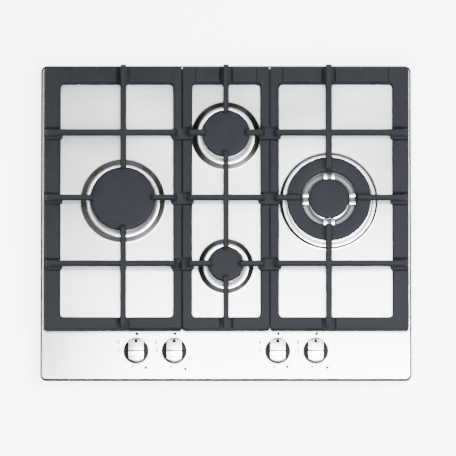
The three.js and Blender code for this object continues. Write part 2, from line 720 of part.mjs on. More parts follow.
// Radial slots for the flame, cut into a wall from its top.
function ports(count, inner, outer, top, phase) {
  return Array.from({ length: count }, (_, i) => {
    const slot = new THREE.BoxGeometry(outer - inner, PORT_WIDTH, PORT_DEPTH + OVERRUN);
    slot.translate((inner + outer) / 2, 0, top + (OVERRUN - PORT_DEPTH) / 2);
    return solid(slot.rotateZ(((i + phase) / count) * 2 * Math.PI));
  });
}

// Adds the tube below a crown's middle in which the gas and the air mix.
function withMixingTube(crown) {
  const bottom = crownBottom - CROWN_TUBE_DROP;
  const top = crownBottom + CROWN_FLOOR;
  const outside = cylinder(CROWN_THROAT + CROWN_TUBE_WALL, bottom, top - CROWN_FLOOR / 2, FITTING_SIDES);
  const throat = cylinder(CROWN_THROAT, bottom - OVERRUN, top + OVERRUN, FITTING_SIDES);
  return cut(join(crown, outside), throat);
}

function burnerCrown({ x, y, crown, ports: count, segments }) {
  const floor = crownBottom + CROWN_FLOOR;
  const dish = turned([
    [0, crownBottom],
    [crown, crownBottom],
    [crown, crownTop],
    [crown - CROWN_WALL, crownTop],
    [crown - CROWN_WALL, floor],
    [0, floor],
  ], segments);
  const slots = ports(count, crown - CROWN_WALL - OVERRUN, crown + OVERRUN, crownTop, 0.5);
  return withMixingTube(cut(dish, ...slots)).translate([x, y, 0]);
}

function burnerCap({ x, y, cap, crown, segments }) {
  const lip = crown - CROWN_WALL - SEAT_GAP;
  return turned([
    [0, capBottom + CAP_LIP_DEPTH],
    [lip - CAP_LIP_WIDTH, capBottom + CAP_LIP_DEPTH],
    [lip - CAP_LIP_WIDTH, capBottom - CAP_LIP_DEPTH],
    [lip, capBottom - CAP_LIP_DEPTH],
    [lip, capBottom],
    [cap, capBottom],
    [cap, capTop - CAP_ROUND - CAP_DOME],
    [cap - CAP_ROUND, capTop - CAP_DOME],
    [0, capTop],
  ], segments).translate([x, y, 0]);
}

for (const burner of BURNERS) {
  add(`${burner.name}_burner_cup`, burnerCup(burner), ALUMINIUM);
  add(`${burner.name}_burner_crown`, burnerCrown(burner), ALUMINIUM);
  add(`${burner.name}_burner_cap`, burnerCap(burner), ENAMEL_IRON);
}

// The wok burner's crown is one casting: a centre crown and a ring, joined by a floor and by four bridges
// that carry the flame across the air channel between them.
const wokRingOuterWall = WOK_RING_OUTER - WOK_RING_LAND;
const wokRingInnerWall = WOK_RING_INNER + WOK_INNER_LAND;
const wokCentreWall = WOK_CENTRE_CAP - WOK_INNER_LAND;

function wokCrown() {
  const floor = crownBottom + CROWN_FLOOR;
  const body = turned([
    [0, crownBottom],
    [wokRingOuterWall, crownBottom],
    [wokRingOuterWall, crownTop],
    [wokRingOuterWall - WOK_WALL, crownTop],
    [wokRingOuterWall - WOK_WALL, floor],
    [wokRingInnerWall + WOK_WALL, floor],
    [wokRingInnerWall + WOK_WALL, crownTop],
    [wokRingInnerWall, crownTop],
    [wokRingInnerWall, floor],
    [wokCentreWall, floor],
    [wokCentreWall, crownTop],
    [wokCentreWall - WOK_WALL, crownTop],
    [wokCentreWall - WOK_WALL, floor],
    [0, floor],
  ], WOK.segments);
  const through = (count, wall) => ports(count, wall - WOK_WALL - OVERRUN, wall + OVERRUN, crownTop, 0.5);
  const slots = [
    ...through(WOK_OUTER_PORTS, wokRingOuterWall),
    ...through(WOK_CHANNEL_PORTS, wokRingInnerWall + WOK_WALL),
    ...through(WOK_CENTRE_PORTS, wokCentreWall),
  ];
  const from = WOK_CENTRE_CAP + 2 * SEAT_GAP;
  const top = crownTop + WOK_BRIDGE_RISE;
  const half = WOK_BRIDGE_WIDTH / 2;
  const to = Math.sqrt((WOK_RING_INNER - 2 * SEAT_GAP) ** 2 - half ** 2);
  const groove = WOK_BRIDGE_GROOVE / 2;
  const low = crownBottom + CROWN_FLOOR / 2;
  const bridges = [0, 90, 180, 270].map((turn) => {
    const head = raised([
      [-half, low], [half, low], [half, top], [groove, top], [groove, top - WOK_GROOVE_DEPTH],
      [-groove, top - WOK_GROOVE_DEPTH], [-groove, top], [-half, top],
    ], from, to);
    const webRun = wokRingInnerWall - wokCentreWall + WOK_WALL;
    const webMiddle = (wokRingInnerWall + wokCentreWall) / 2;
    const web = block(WOK_BRIDGE_WIDTH, webRun, low, crownTop - PORT_DEPTH, 0, webMiddle);
    return join(head.rotate([90, 0, 180]), web).rotate([0, 0, turn]);
  });
  return withMixingTube(join(cut(body, ...slots), ...bridges)).translate([WOK.x, WOK.y, 0]);
}

function wokRingCap() {
  const outerLip = wokRingOuterWall - WOK_WALL - SEAT_GAP;
  const innerLip = wokRingInnerWall + WOK_WALL + SEAT_GAP;
  return turnedRing([
    [WOK_RING_INNER, capBottom],
    [innerLip, capBottom],
    [innerLip, capBottom - CAP_LIP_DEPTH],
    [outerLip, capBottom - CAP_LIP_DEPTH],
    [outerLip, capBottom],
    [WOK_RING_OUTER, capBottom],
    [WOK_RING_OUTER, capTop - CAP_ROUND - CAP_DOME],
    [WOK_RING_OUTER - CAP_ROUND, capTop - CAP_DOME],
    [WOK_RING_INNER + CAP_ROUND, capTop - CAP_DOME],
    [WOK_RING_INNER, capTop - CAP_ROUND - CAP_DOME],
  ], WOK.segments).translate([WOK.x, WOK.y, 0]);
}

add('right_burner_cup', burnerCup(WOK), ALUMINIUM);
add('right_burner_crown', wokCrown(), ALUMINIUM);
add('right_burner_ring_cap', wokRingCap(), ENAMEL_IRON);
const wokCentreCrown = wokCentreWall + CROWN_WALL - WOK_WALL;
const wokCentre = { ...WOK, cap: WOK_CENTRE_CAP, crown: wokCentreCrown };
add('right_burner_centre_cap', burnerCap(wokCentre), ENAMEL_IRON);

// A ceramic igniter stands through the plate and the cup's flange, with a collar below the plate.
function igniter({ igniterX, igniterY }) {
  const bottom = seatTop - IGNITER_DROP;
  const collarTop = seatTop - PLATE_SHEET - SEAT_GAP;
  const top = cupTop + IGNITER_STAND;
  const body = turned([
    [0, bottom],
    [IGNITER_RADIUS, bottom],
    [IGNITER_RADIUS, collarTop - IGNITER_COLLAR_HEIGHT],
    [IGNITER_RADIUS + IGNITER_COLLAR, collarTop - IGNITER_COLLAR_HEIGHT],
    [IGNITER_RADIUS + IGNITER_COLLAR, collarTop],
    [IGNITER_RADIUS, collarTop],
    [IGNITER_RADIUS, top],
    [IGNITER_PIN_RADIUS, top],
    [IGNITER_PIN_RADIUS, top + IGNITER_PIN_LENGTH],
    [0, top + IGNITER_PIN_LENGTH],
  ], PIPE_SIDES);
  return body.translate([igniterX, igniterY, 0]);
}

for (const burner of allBurners) add(`${burner.name}_igniter`, igniter(burner), CERAMIC);

// --------------------------------------------------------------------------------------------------------
// Pan supports
// --------------------------------------------------------------------------------------------------------

// The outline of one bar as [distance along it, height]. Each end is { at, kind, rail }, and a kind is one
// of these:
//   outer  over the support's outside rail, front  the same with a sloping face,
//   join   over the rail that meets the next support, tip  a free finger end above a burner.
function barOutline(low, high) {
  const root = railTop - NOTCH_DEPTH - BAR_ROOT;
  const side = ({ at, kind, rail }, sign) => {
    if (kind === 'tip') {
      return [[at - sign * TIP_ROUND, barUnder], [at, barUnder + TIP_ROUND], [at, barTop - TIP_ROUND],
        [at - sign * TIP_ROUND, barTop]];
    }
    const setback = kind === 'join' ? BAR_SETBACK_JOIN : BAR_SETBACK;
    const slope = kind === 'front' ? BAR_FRONT_SLOPE : BAR_END_ROUND;
    const face = at - sign * setback;
    const foot = kind === 'front' ? railTop - NOTCH_DEPTH + BAR_FRONT_STEP : barTop - slope;
    return [[at - sign * (rail + GUSSET), barUnder], [at - sign * (rail - BAR_ROOT), root], [face, root],
      [face, foot], [face - sign * slope, barTop]];
  };
  return [...side(low, -1).reverse(), ...side(high, 1)];
}

// One casting: a frame of hollow rails and the bars that stand on it. rails holds the widths of the left and
// right rails, bars the list of bars, crossings the places where two bars cross.
function panSupport({ edge, rails, bars, crossings, feet }) {
  const [openingY0, openingY1] = [edge.y0 + FRONT_RAIL, edge.y1 - BACK_RAIL];
  const opening = { x0: edge.x0 + rails[0], x1: edge.x1 - rails[1], y0: openingY0, y1: openingY1 };
  const frame = lofted([
    [edge, SUPPORT_CORNER, railBottom],
    [edge, SUPPORT_CORNER, railTop - RAIL_ROUND],
    [inset(edge, RAIL_ROUND), SUPPORT_CORNER - RAIL_ROUND, railTop],
  ], SMALL_CORNER_STEPS);
  const window = lofted([
    [opening, OPENING_CORNER, railBottom - OVERRUN],
    [opening, OPENING_CORNER, railTop - RAIL_ROUND],
    [inset(opening, -RAIL_ROUND), OPENING_CORNER + RAIL_ROUND, railTop],
    [inset(opening, -RAIL_ROUND), OPENING_CORNER + RAIL_ROUND, railTop + OVERRUN],
  ], SMALL_CORNER_STEPS);

  // The rails are hollow from below between their solid corners.
  const middleX = (edge.x0 + edge.x1) / 2;
  const middleY = (edge.y0 + edge.y1) / 2;
  const runX = edge.x1 - edge.x0 - 2 * CORNER_BLOCK;
  const runY = edge.y1 - edge.y0 - 2 * CORNER_BLOCK;
  const hollow = (width, depth, x, y) =>
    block(width, depth, railBottom - OVERRUN, railTop - RAIL_ROOF, x, y);
  const hollows = [
    hollow(rails[0] - 2 * RAIL_WALL, runY, edge.x0 + rails[0] / 2, middleY),
    hollow(rails[1] - 2 * RAIL_WALL, runY, edge.x1 - rails[1] / 2, middleY),
    hollow(runX, BACK_RAIL - 2 * RAIL_WALL, middleX, edge.y1 - BACK_RAIL / 2),
    hollow(runX, FRONT_RAIL - 2 * RAIL_WALL, middleX, edge.y0 + FRONT_RAIL / 2),
  ];

  // A dip in the rail at each bar end, a rib on the rail's inner face under it, and the bar itself.
  const notches = [];
  const ribs = [];
  const uprights = [];
  const notchFlare = NOTCH_TOP + ((NOTCH_TOP - NOTCH_FLOOR) * OVERRUN) / NOTCH_DEPTH;
  for (const { along, at, low, high } of bars) {
    uprights.push(upright(barOutline(low, high), BAR_WIDTH, BAR_CHAMFER, along, at));
    for (const [end, sign] of [[low, -1], [high, 1]]) {
      if (end.kind === 'tip') continue;
      const across = [[-NOTCH_FLOOR, railTop - NOTCH_DEPTH], [NOTCH_FLOOR, railTop - NOTCH_DEPTH],
        [notchFlare, railTop + OVERRUN], [-notchFlare, railTop + OVERRUN]]
        .map(([s, z]) => [at + s, z]);
      const length = end.rail + 2 * OVERRUN;
      notches.push(upright(across, length, 0, along === 'x' ? 'y' : 'x', end.at - (sign * end.rail) / 2));
      const face = end.at - sign * (end.rail - OVERRUN);
      const nose = end.at - sign * (end.rail + RIB_PROUD);
      const plan = [
        [face, at - RIB_FOOT], [nose, at - RIB_NOSE], [nose, at + RIB_NOSE], [face, at + RIB_FOOT],
      ].map(([s, t]) => (along === 'x' ? [s, t] : [t, s]));
      ribs.push(raised(plan, railBottom, railTop - NOTCH_DEPTH));
    }
  }
  const creaseFlare = (CREASE_WIDTH / 2) * (1 + OVERRUN / CREASE_DEPTH);
  const creases = [edge.x0 + rails[0] + CREASE_OFFSET, edge.x1 - rails[1] - CREASE_OFFSET].map((x) => {
    const groove = [[x - creaseFlare, railTop + OVERRUN], [x, railTop - CREASE_DEPTH],
      [x + creaseFlare, railTop + OVERRUN]];
    return upright(groove, BACK_RAIL + 2 * OVERRUN, 0, 'x', edge.y1 - BACK_RAIL / 2);
  });
  const diamond = [[-CROSS_FILLET, 0], [0, -CROSS_FILLET], [CROSS_FILLET, 0], [0, CROSS_FILLET]];
  const fillet = raised(diamond, barUnder, barTop - BAR_CHAMFER);
  const fillets = crossings.map(([x, y]) => fillet.translate([x, y, 0]));
  const holeTop = railBottom + FOOT_STUD_HEIGHT + SEAT_GAP;
  const studHole = cylinder(FOOT_STUD_RADIUS + SEAT_GAP, railBottom - OVERRUN, holeTop, FOOT_SIDES);
  const studHoles = feet.map(([x, y]) => studHole.translate([x, y, 0]));
  const rawFrame = cut(frame, window, ...hollows, ...notches, ...creases);
  return cut(join(rawFrame, ...ribs, ...uprights, ...fillets), ...studHoles);
}

// A rubber foot plugs into the support's corner by its stud.
function rubberFoot([x, y]) {
  const top = footBottom + FOOT_HEIGHT;
  return turned([
    [0, footBottom],
    [FOOT_RADIUS - FOOT_TAPER, footBottom],
    [FOOT_RADIUS, top],
    [FOOT_STUD_RADIUS, top],
    [FOOT_STUD_RADIUS, top + FOOT_STUD_HEIGHT],
    [0, top + FOOT_STUD_HEIGHT],
  ], FOOT_SIDES).translate([x, y, 0]);
}

const frontEnd = { at: supportFront, kind: 'front', rail: FRONT_RAIL };
const backEnd = { at: supportBack, kind: 'outer', rail: BACK_RAIL };
const tip = (at) => ({ at, kind: 'tip' });

// A support over one burner in the middle of its length, with full bars level with the rear and the front
// burner.
function sideSupport(burner, side) {
  const outer = side * supportSide;
  const inner = side * (SUPPORT_SPLIT_X + SUPPORT_GAP / 2);
  const [x0, x1] = [Math.min(outer, inner), Math.max(outer, inner)];
  const outerEnd = { at: outer, kind: 'outer', rail: SIDE_RAIL };
  const joinEnd = { at: inner, kind: 'join', rail: JOIN_RAIL };
  const [low, high] = side < 0 ? [outerEnd, joinEnd] : [joinEnd, outerEnd];
  const reach = FINGER_REACH[burner.name];
  return {
    edge: { x0, x1, y0: supportFront, y1: supportBack },
    rails: [low.rail, high.rail],
    bars: [
      { along: 'x', at: REAR.y, low, high },
      { along: 'x', at: FRONT.y, low, high },
      { along: 'x', at: burner.y, low, high: tip(burner.x - reach) },
      { along: 'x', at: burner.y, low: tip(burner.x + reach), high },
      { along: 'y', at: burner.x, low: tip(burner.y + reach), high: backEnd },
      { along: 'y', at: burner.x, low: frontEnd, high: tip(burner.y - reach) },
    ],
    crossings: [[burner.x, REAR.y], [burner.x, FRONT.y]],
    feet: footPlaces(x0, x1, low.rail, high.rail),
  };
}

function footPlaces(x0, x1, leftRail, rightRail) {
  const xs = [x0 + Math.min(FOOT_INSET, leftRail / 2), x1 - Math.min(FOOT_INSET, rightRail / 2)];
  const ys = [supportFront + FOOT_INSET, supportBack - FOOT_INSET];
  return xs.flatMap((x) => ys.map((y) => [x, y]));
}

function centreSupport() {
  const x1 = SUPPORT_SPLIT_X - SUPPORT_GAP / 2;
  const low = { at: -x1, kind: 'join', rail: JOIN_RAIL };
  const high = { at: x1, kind: 'join', rail: JOIN_RAIL };
  const fingers = [REAR, FRONT].flatMap(({ name, x, y }) => [
    { along: 'x', at: y, low, high: tip(x - FINGER_REACH[name]) },
    { along: 'x', at: y, low: tip(x + FINGER_REACH[name]), high },
  ]);
  const crossY = LEFT.y;
  return {
    edge: { x0: -x1, x1, y0: supportFront, y1: supportBack },
    rails: [JOIN_RAIL, JOIN_RAIL],
    bars: [
      { along: 'x', at: crossY, low, high },
      ...fingers,
      { along: 'y', at: REAR.x, low: tip(REAR.y + FINGER_REACH.rear), high: backEnd },
      {
        along: 'y',
        at: REAR.x,
        low: tip(FRONT.y + FINGER_REACH.front),
        high: tip(REAR.y - FINGER_REACH.rear),
      },
      { along: 'y', at: FRONT.x, low: frontEnd, high: tip(FRONT.y - FINGER_REACH.front) },
    ],
    crossings: [[REAR.x, crossY]],
    feet: footPlaces(-x1, x1, JOIN_RAIL, JOIN_RAIL),
  };
}

const supports = {
  left: sideSupport(LEFT, -1),
  centre: centreSupport(),
  right: sideSupport(WOK, 1),
};
for (const [name, support] of Object.entries(supports)) {
  add(`${name}_pan_support`, panSupport(support), ENAMEL_IRON);
  support.feet.forEach((place, i) => add(`${name}_support_foot_${i + 1}`, rubberFoot(place), RUBBER));
}

// --------------------------------------------------------------------------------------------------------
// Knobs and taps
// --------------------------------------------------------------------------------------------------------

// A round section with one flat, as on the spindle and in the knob's bore.
function flattedRound(radius, flat, bottom, top) {
  const start = Math.asin(flat / radius);
  const sweep = Math.PI + 2 * start;
  const steps = PIPE_SIDES;
  const points = Array.from({ length: steps + 1 }, (_, i) => {
    const angle = Math.PI - start + (i / steps) * sweep;
    return [radius * Math.cos(angle), radius * Math.sin(angle)];
  });
  return raised(points, bottom, top);
}

const spindleTop = knobBottom + KNOB_BORE_DEPTH - SEAT_GAP;
const spindleBottom = plugBottom + PLUG_FLOOR + SPINDLE_PUSH + SEAT_GAP;

// A round knob: a skirt, and a wide grip from front to back whose top falls away to the front.
function knob() {
  const top = knobBottom + KNOB_HEIGHT;
  const body = turned([
    [0, knobBottom],
    [KNOB_RADIUS, knobBottom],
    [KNOB_RADIUS, top - KNOB_ROUND],
    [KNOB_RADIUS - KNOB_ROUND, top],
    [0, top],
  ], KNOB_SIDES);
  const skirtTop = knobBottom + KNOB_SKIRT;
  const flanks = [-1, 1].map((side) => {
    const centre = side * (KNOB_GRIP / 2 - KNOB_GRIP_BOW);
    const reach = KNOB_RADIUS + OVERRUN;
    const flank = Array.from({ length: KNOB_FLANK_STEPS + 1 }, (_, i) => {
      const y = reach * ((2 * i) / KNOB_FLANK_STEPS - 1);
      return [centre + side * Math.sqrt(KNOB_GRIP_BOW ** 2 - y ** 2), y];
    });
    const outline = [...flank, [side * reach, reach], [side * reach, -reach]];
    return raised(side > 0 ? outline.reverse() : outline, skirtTop, top + OVERRUN);
  });
  const falling = upright([
    [KNOB_CREASE_Y, top],
    [KNOB_SECOND_CREASE_Y, top - KNOB_FALL],
    [-KNOB_RADIUS - OVERRUN, top - KNOB_FALL - KNOB_FRONT_FALL],
    [-KNOB_RADIUS - OVERRUN, top + OVERRUN],
    [KNOB_CREASE_Y, top + OVERRUN],
  ], 2 * KNOB_RADIUS + OVERRUN, 0, 'y', 0);
  const [from, to] = [knobBottom - OVERRUN, knobBottom + KNOB_BORE_DEPTH];
  const bore = flattedRound(SPINDLE_RADIUS + SEAT_GAP, SPINDLE_FLAT + SEAT_GAP, from, to);
  return cut(body, ...flanks, falling, bore);
}

function spindle() {
  const shaft = flattedRound(SPINDLE_RADIUS, SPINDLE_FLAT, knobBottom, spindleTop);
  return join(cylinder(SPINDLE_RADIUS, spindleBottom, knobBottom, HOLE_SIDES), shaft);
}

// The tap's tapered plug turns with the spindle, which slides down inside it when the knob is pressed.
function tapPlug() {
  const bore = around(SPINDLE_RADIUS + SEAT_GAP, HOLE_SIDES);
  return turned([
    [0, plugBottom],
    [PLUG_BOTTOM_RADIUS, plugBottom],
    [PLUG_TOP_RADIUS, plugTop],
    [bore, plugTop],
    [bore, plugBottom + PLUG_FLOOR],
    [0, plugBottom + PLUG_FLOOR],
  ], HOLE_SIDES);
}

// The tap's body, with a spigot on the gas rail and an outlet for its burner's pipe.
function tapBody() {
  const half = { x0: -TAP_WIDTH / 2, x1: TAP_WIDTH / 2, y0: -TAP_DEPTH / 2, y1: TAP_DEPTH / 2 };
  const body = lofted([[half, TAP_CORNER, TAP_BOTTOM], [half, TAP_CORNER, tapTop]], 1);
  const railReach = RAIL_TUBE_OFFSET - RAIL_TUBE_RADIUS - SEAT_GAP;
  const spigot = lyingCylinder(TAP_SPIGOT_RADIUS, 0, railReach, HOLE_SIDES, 180, 0, 0, railAxisZ);
  const outlet = lyingCylinder(TAP_SPIGOT_RADIUS, 0, railReach, HOLE_SIDES, 180, 0, 0, outletZ);
  const boreBottom = around(PLUG_BOTTOM_RADIUS + SEAT_GAP, HOLE_SIDES);
  const boreTop = around(PLUG_TOP_RADIUS + SEAT_GAP, HOLE_SIDES);
  const bore = turned([
    [0, TAP_BOTTOM + TAP_FLOOR],
    [boreBottom, TAP_BOTTOM + TAP_FLOOR],
    [boreTop, plugTop],
    [boreTop, tapTop + OVERRUN],
    [0, tapTop + OVERRUN],
  ], HOLE_SIDES);
  return cut(join(body, spigot, outlet), bore);
}

knobXs.forEach((x, i) => {
  const place = [x, knobY, 0];
  add(`knob_${i + 1}`, knob().translate(place), CHROME);
  add(`spindle_${i + 1}`, spindle().translate(place), ZINC_STEEL);
  add(`tap_plug_${i + 1}`, tapPlug().translate(place), BRASS);
  add(`tap_body_${i + 1}`, tapBody().translate(place), BRASS);
});

// --------------------------------------------------------------------------------------------------------
// Gas rail, pipes and inlet
// --------------------------------------------------------------------------------------------------------

// The rail feeds the taps from behind and runs along the right wall to the inlet at the back.
function gasRail() {
  const left = knobXs[0] - RAIL_TUBE_END;
  const end = inletFaceY - SEAT_GAP;
  const pipe = tube([
    point(left, railAxisY, railAxisZ),
    point(railSideX, railAxisY, railAxisZ),
    point(railSideX, end, railAxisZ),
  ], RAIL_TUBE_RADIUS, RAIL_BEND, RAIL_TUBE_SIDES);
  const saddles = [-KNOB_PAIR_X, KNOB_PAIR_X].map((x) =>
    block(RAIL_SADDLE, RAIL_SADDLE_THICKNESS, TRAY_SHEET + SEAT_GAP, railAxisZ, x, railAxisY));
  return join(pipe, ...saddles);
}

// An elbow behind the tray, with its threaded end pointing down.
function gasInlet() {
  const x = railSideX;
  const y = trayBack + INLET_OUT;
  const end = railAxisZ - INLET_DROP;
  const nipple = lyingCylinder(INLET_RADIUS, 0, y - inletFaceY, FITTING_SIDES, 0, x, y, railAxisZ);
  const leg = cylinder(INLET_RADIUS, end, railAxisZ, FITTING_SIDES).translate([x, y, 0]);
  const ball = new THREE.SphereGeometry(INLET_BALL_RADIUS, FITTING_SIDES, FITTING_SIDES / 2);
  ball.rotateX(Math.PI / 2).translate(x, y, railAxisZ);
  const bore = cylinder(INLET_BORE, end - OVERRUN, railAxisZ, FITTING_SIDES).translate([x, y, 0]);
  return cut(join(nipple, leg, solid(ball)), bore);
}

// Where a pipe leaves its tap and where it enters its burner's injector holder.
const pipeStart = (tap) => point(knobXs[tap], railAxisY - RAIL_TUBE_RADIUS, outletZ);
function pipeEnd({ x, y, inletTurn }) {
  const angle = THREE.MathUtils.degToRad(inletTurn - 90);
  const reach = HOLDER_INLET_LENGTH + SEAT_GAP;
  return point(x + reach * Math.cos(angle), y + reach * Math.sin(angle), HOLDER_BOTTOM + HOLDER_INLET_RADIUS);
}

// A pipe goes straight back from its tap over the rail, then across to its burner at the holder's height.
function burnerPipe(tap, burner) {
  const start = pipeStart(tap);
  const end = pipeEnd(burner);
  const angle = THREE.MathUtils.degToRad(burner.inletTurn - 90);
  const before = end.clone().add(point(Math.cos(angle), Math.sin(angle), 0).multiplyScalar(PIPE_LEAD));
  const over = point(start.x, railAxisY + RAIL_TUBE_RADIUS + PIPE_PAST_RAIL, outletZ);
  const across = point(start.x, before.y - PIPE_LEAD, end.z);
  const middle = Math.abs(before.x - start.x) < PIPE_LEAD ? [over] : [over, across];
  return tube([start, ...middle, before, end], PIPE_RADIUS, PIPE_BEND, PIPE_SIDES);
}

add('gas_rail', gasRail(), ALUMINIUM);
add('gas_inlet', gasInlet(), BRASS);
add('left_burner_pipe', burnerPipe(0, LEFT), ALUMINIUM);
add('rear_burner_pipe', burnerPipe(1, REAR), ALUMINIUM);
add('front_burner_pipe', burnerPipe(2, FRONT), ALUMINIUM);
add('right_burner_pipe', burnerPipe(3, WOK), ALUMINIUM);

// --------------------------------------------------------------------------------------------------------
// Igniter generator and mains terminal box
// --------------------------------------------------------------------------------------------------------

// A moulded box with a row of lugs for the igniters' leads and an ear at each end.
function generator() {
  const bottom = TRAY_SHEET + SEAT_GAP;
  const edge = rectangle(boxX, GENERATOR.y, GENERATOR.width, GENERATOR.depth);
  const body = lofted([
    [edge, GENERATOR.corner, bottom],
    [inset(edge, GENERATOR.draft), GENERATOR.corner - GENERATOR.draft, bottom + GENERATOR.height],
  ], SMALL_CORNER_STEPS);
  const lugUnder = bottom + GENERATOR.height / 2;
  const lugs = Array.from({ length: GENERATOR_LUGS }, (_, i) => {
    const y = GENERATOR.y + (i - (GENERATOR_LUGS - 1) / 2) * LUG_PITCH;
    return block(2 * LUG_LENGTH, LUG_WIDTH, lugUnder, lugUnder + LUG_WIDTH, edge.x1, y);
  });
  const ears = [-1, 1].map((side) => {
    const y = GENERATOR.y + (side * GENERATOR.depth) / 2;
    return block(GENERATOR_EAR, 2 * GENERATOR_EAR, bottom, bottom + GENERATOR_EAR_HEIGHT, boxX, y);
  });
  return join(body, ...lugs, ...ears);
}

// The terminal box sits against the back wall with a cable gland through it.
function terminalBox() {
  const bottom = TRAY_SHEET + SEAT_GAP;
  const wall = trayBack - TRAY_DRAFT - TRAY_SHEET - SEAT_GAP;
  const edge = rectangle(boxX, wall - TERMINAL.depth / 2, TERMINAL.width, TERMINAL.depth);
  const body = lofted([
    [edge, TERMINAL.corner, bottom],
    [edge, TERMINAL.corner, bottom + TERMINAL.height],
  ], SMALL_CORNER_STEPS);
  const from = -TERMINAL.depth / 2;
  const place = [180, boxX, wall, terminalAxisZ];
  const gland = lyingCylinder(GLAND_RADIUS, from, GLAND_LENGTH, FITTING_SIDES, ...place);
  const entry = lyingCylinder(GLAND_BORE, from, GLAND_LENGTH + OVERRUN, HOLE_SIDES, ...place);
  return cut(join(body, gland), entry);
}

add('igniter_generator', generator(), PLASTIC);
add('terminal_box', terminalBox(), PLASTIC);

export default cooktop;
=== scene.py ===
import math

import bmesh
import bpy
import numpy as np
from mathutils import Matrix, Vector


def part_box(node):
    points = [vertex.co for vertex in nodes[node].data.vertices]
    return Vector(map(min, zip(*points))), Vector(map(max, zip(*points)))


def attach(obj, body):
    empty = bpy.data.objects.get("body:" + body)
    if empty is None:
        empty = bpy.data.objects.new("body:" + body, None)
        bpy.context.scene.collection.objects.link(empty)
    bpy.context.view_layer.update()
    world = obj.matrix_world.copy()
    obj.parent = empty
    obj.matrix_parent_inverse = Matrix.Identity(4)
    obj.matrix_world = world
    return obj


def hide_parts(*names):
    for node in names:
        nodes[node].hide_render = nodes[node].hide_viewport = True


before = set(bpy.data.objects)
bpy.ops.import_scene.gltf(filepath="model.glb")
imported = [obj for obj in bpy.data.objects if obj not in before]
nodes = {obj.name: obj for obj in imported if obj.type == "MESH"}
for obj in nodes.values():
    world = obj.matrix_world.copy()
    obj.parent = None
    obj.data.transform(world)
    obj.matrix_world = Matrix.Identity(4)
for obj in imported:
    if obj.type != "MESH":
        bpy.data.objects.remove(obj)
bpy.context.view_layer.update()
MM = 0.001

# ---------------------------------------------------------------------------------------------------
# Sizes shared by several pieces, in millimetres, in the cooktop's own frame
# ---------------------------------------------------------------------------------------------------

PLATE_HALF = (295, 255)
PLATE_CORNER = 10
PLATE_TOP = 51.3
PLATE_SHEET = 1
RIM_DROP = 5
RIM_ROUND = 1.5
SEAT_TOP = 55.8
SEAT_DISH = 0.7  # the seat's fall towards the cup
SPINDLE_HOLE = 5.5

CUP_TOP = 58.1
CUP_DEPTH = 22
CUP_WALL = 2.5
HOLDER_BOTTOM = 16
HOLDER_RADIUS = 9
CROWN_BOTTOM = 58.4
CROWN_TOP = 69.9
CROWN_WALL = 5
CROWN_FLOOR = CROWN_BOTTOM + 3.5
TUBE_BOTTOM = CROWN_BOTTOM - 14
TUBE_BORE = 5
TUBE_OUTER = 7.5
PORT_RING = 5  # height of the teeth between the flame ports
CAP_BOTTOM = 70.2
CAP_TOP = 79.2
LIP_DROP = 1.8  # the caps' locating ring below them

KNOB_BOTTOM = 54.9
KNOB_TOP = 74.9
KNOBS = [(-142.75, -207), (-82.25, -207), (82.25, -207), (142.75, -207)]

# The single burners: middle, cap, crown, cup flange, and the foot and shoulder of the plate's raised seat.
BURNERS = {
    "left": dict(at=(-164, 35.5), cap=51, crown=40.5, flange=47.5, foot=67, shoulder=58.5, ports=16),
    "rear": dict(at=(0, 141), cap=37.5, crown=28, flange=35, foot=54.6, shoulder=46, ports=12),
    "front": dict(at=(0, -70), cap=28, crown=18, flange=25, foot=43.8, shoulder=36.5, ports=10),
}
WOK = dict(at=(164, 35.5), crown=60, flange=68.25, foot=77.4, shoulder=74.4)
WOK_RING_OUTER = 67
WOK_RING_INNER = 43.8
WOK_CENTRE_CAP = 31.5
WOK_CENTRE_WALL = (24, 28.5)  # inner and outer radius of the crown's walls
WOK_CHANNEL_WALL = (46.8, 51.3)
WOK_PORT_WALL = (55.5, 60)
BRIDGE_HALF = 9
GROOVE_HALF = (2.6, 3)  # at its floor and its top
GROOVE_DEPTH = 4

# ---------------------------------------------------------------------------------------------------
# Finishes
# ---------------------------------------------------------------------------------------------------


def colour(text):
    """An sRGB hex colour as the linear values that a shader takes."""
    parts = [int(text[i:i + 2], 16) / 255 for i in (1, 3, 5)]
    return tuple(c / 12.92 if c <= 0.04045 else ((c + 0.055) / 1.055) ** 2.4 for c in parts) + (1.0,)


def put(tree, kind, values=None, links=None, **settings):
    """Adds a node: its own settings, its sockets' values, and what feeds its sockets."""
    made = tree.nodes.new(kind)
    for name, value in settings.items():
        setattr(made, name, value)
    for socket, value in (values or {}).items():
        made.inputs[socket].default_value = value
    for socket, source in (links or {}).items():
        tree.links.new(source, made.inputs[socket])
    return made


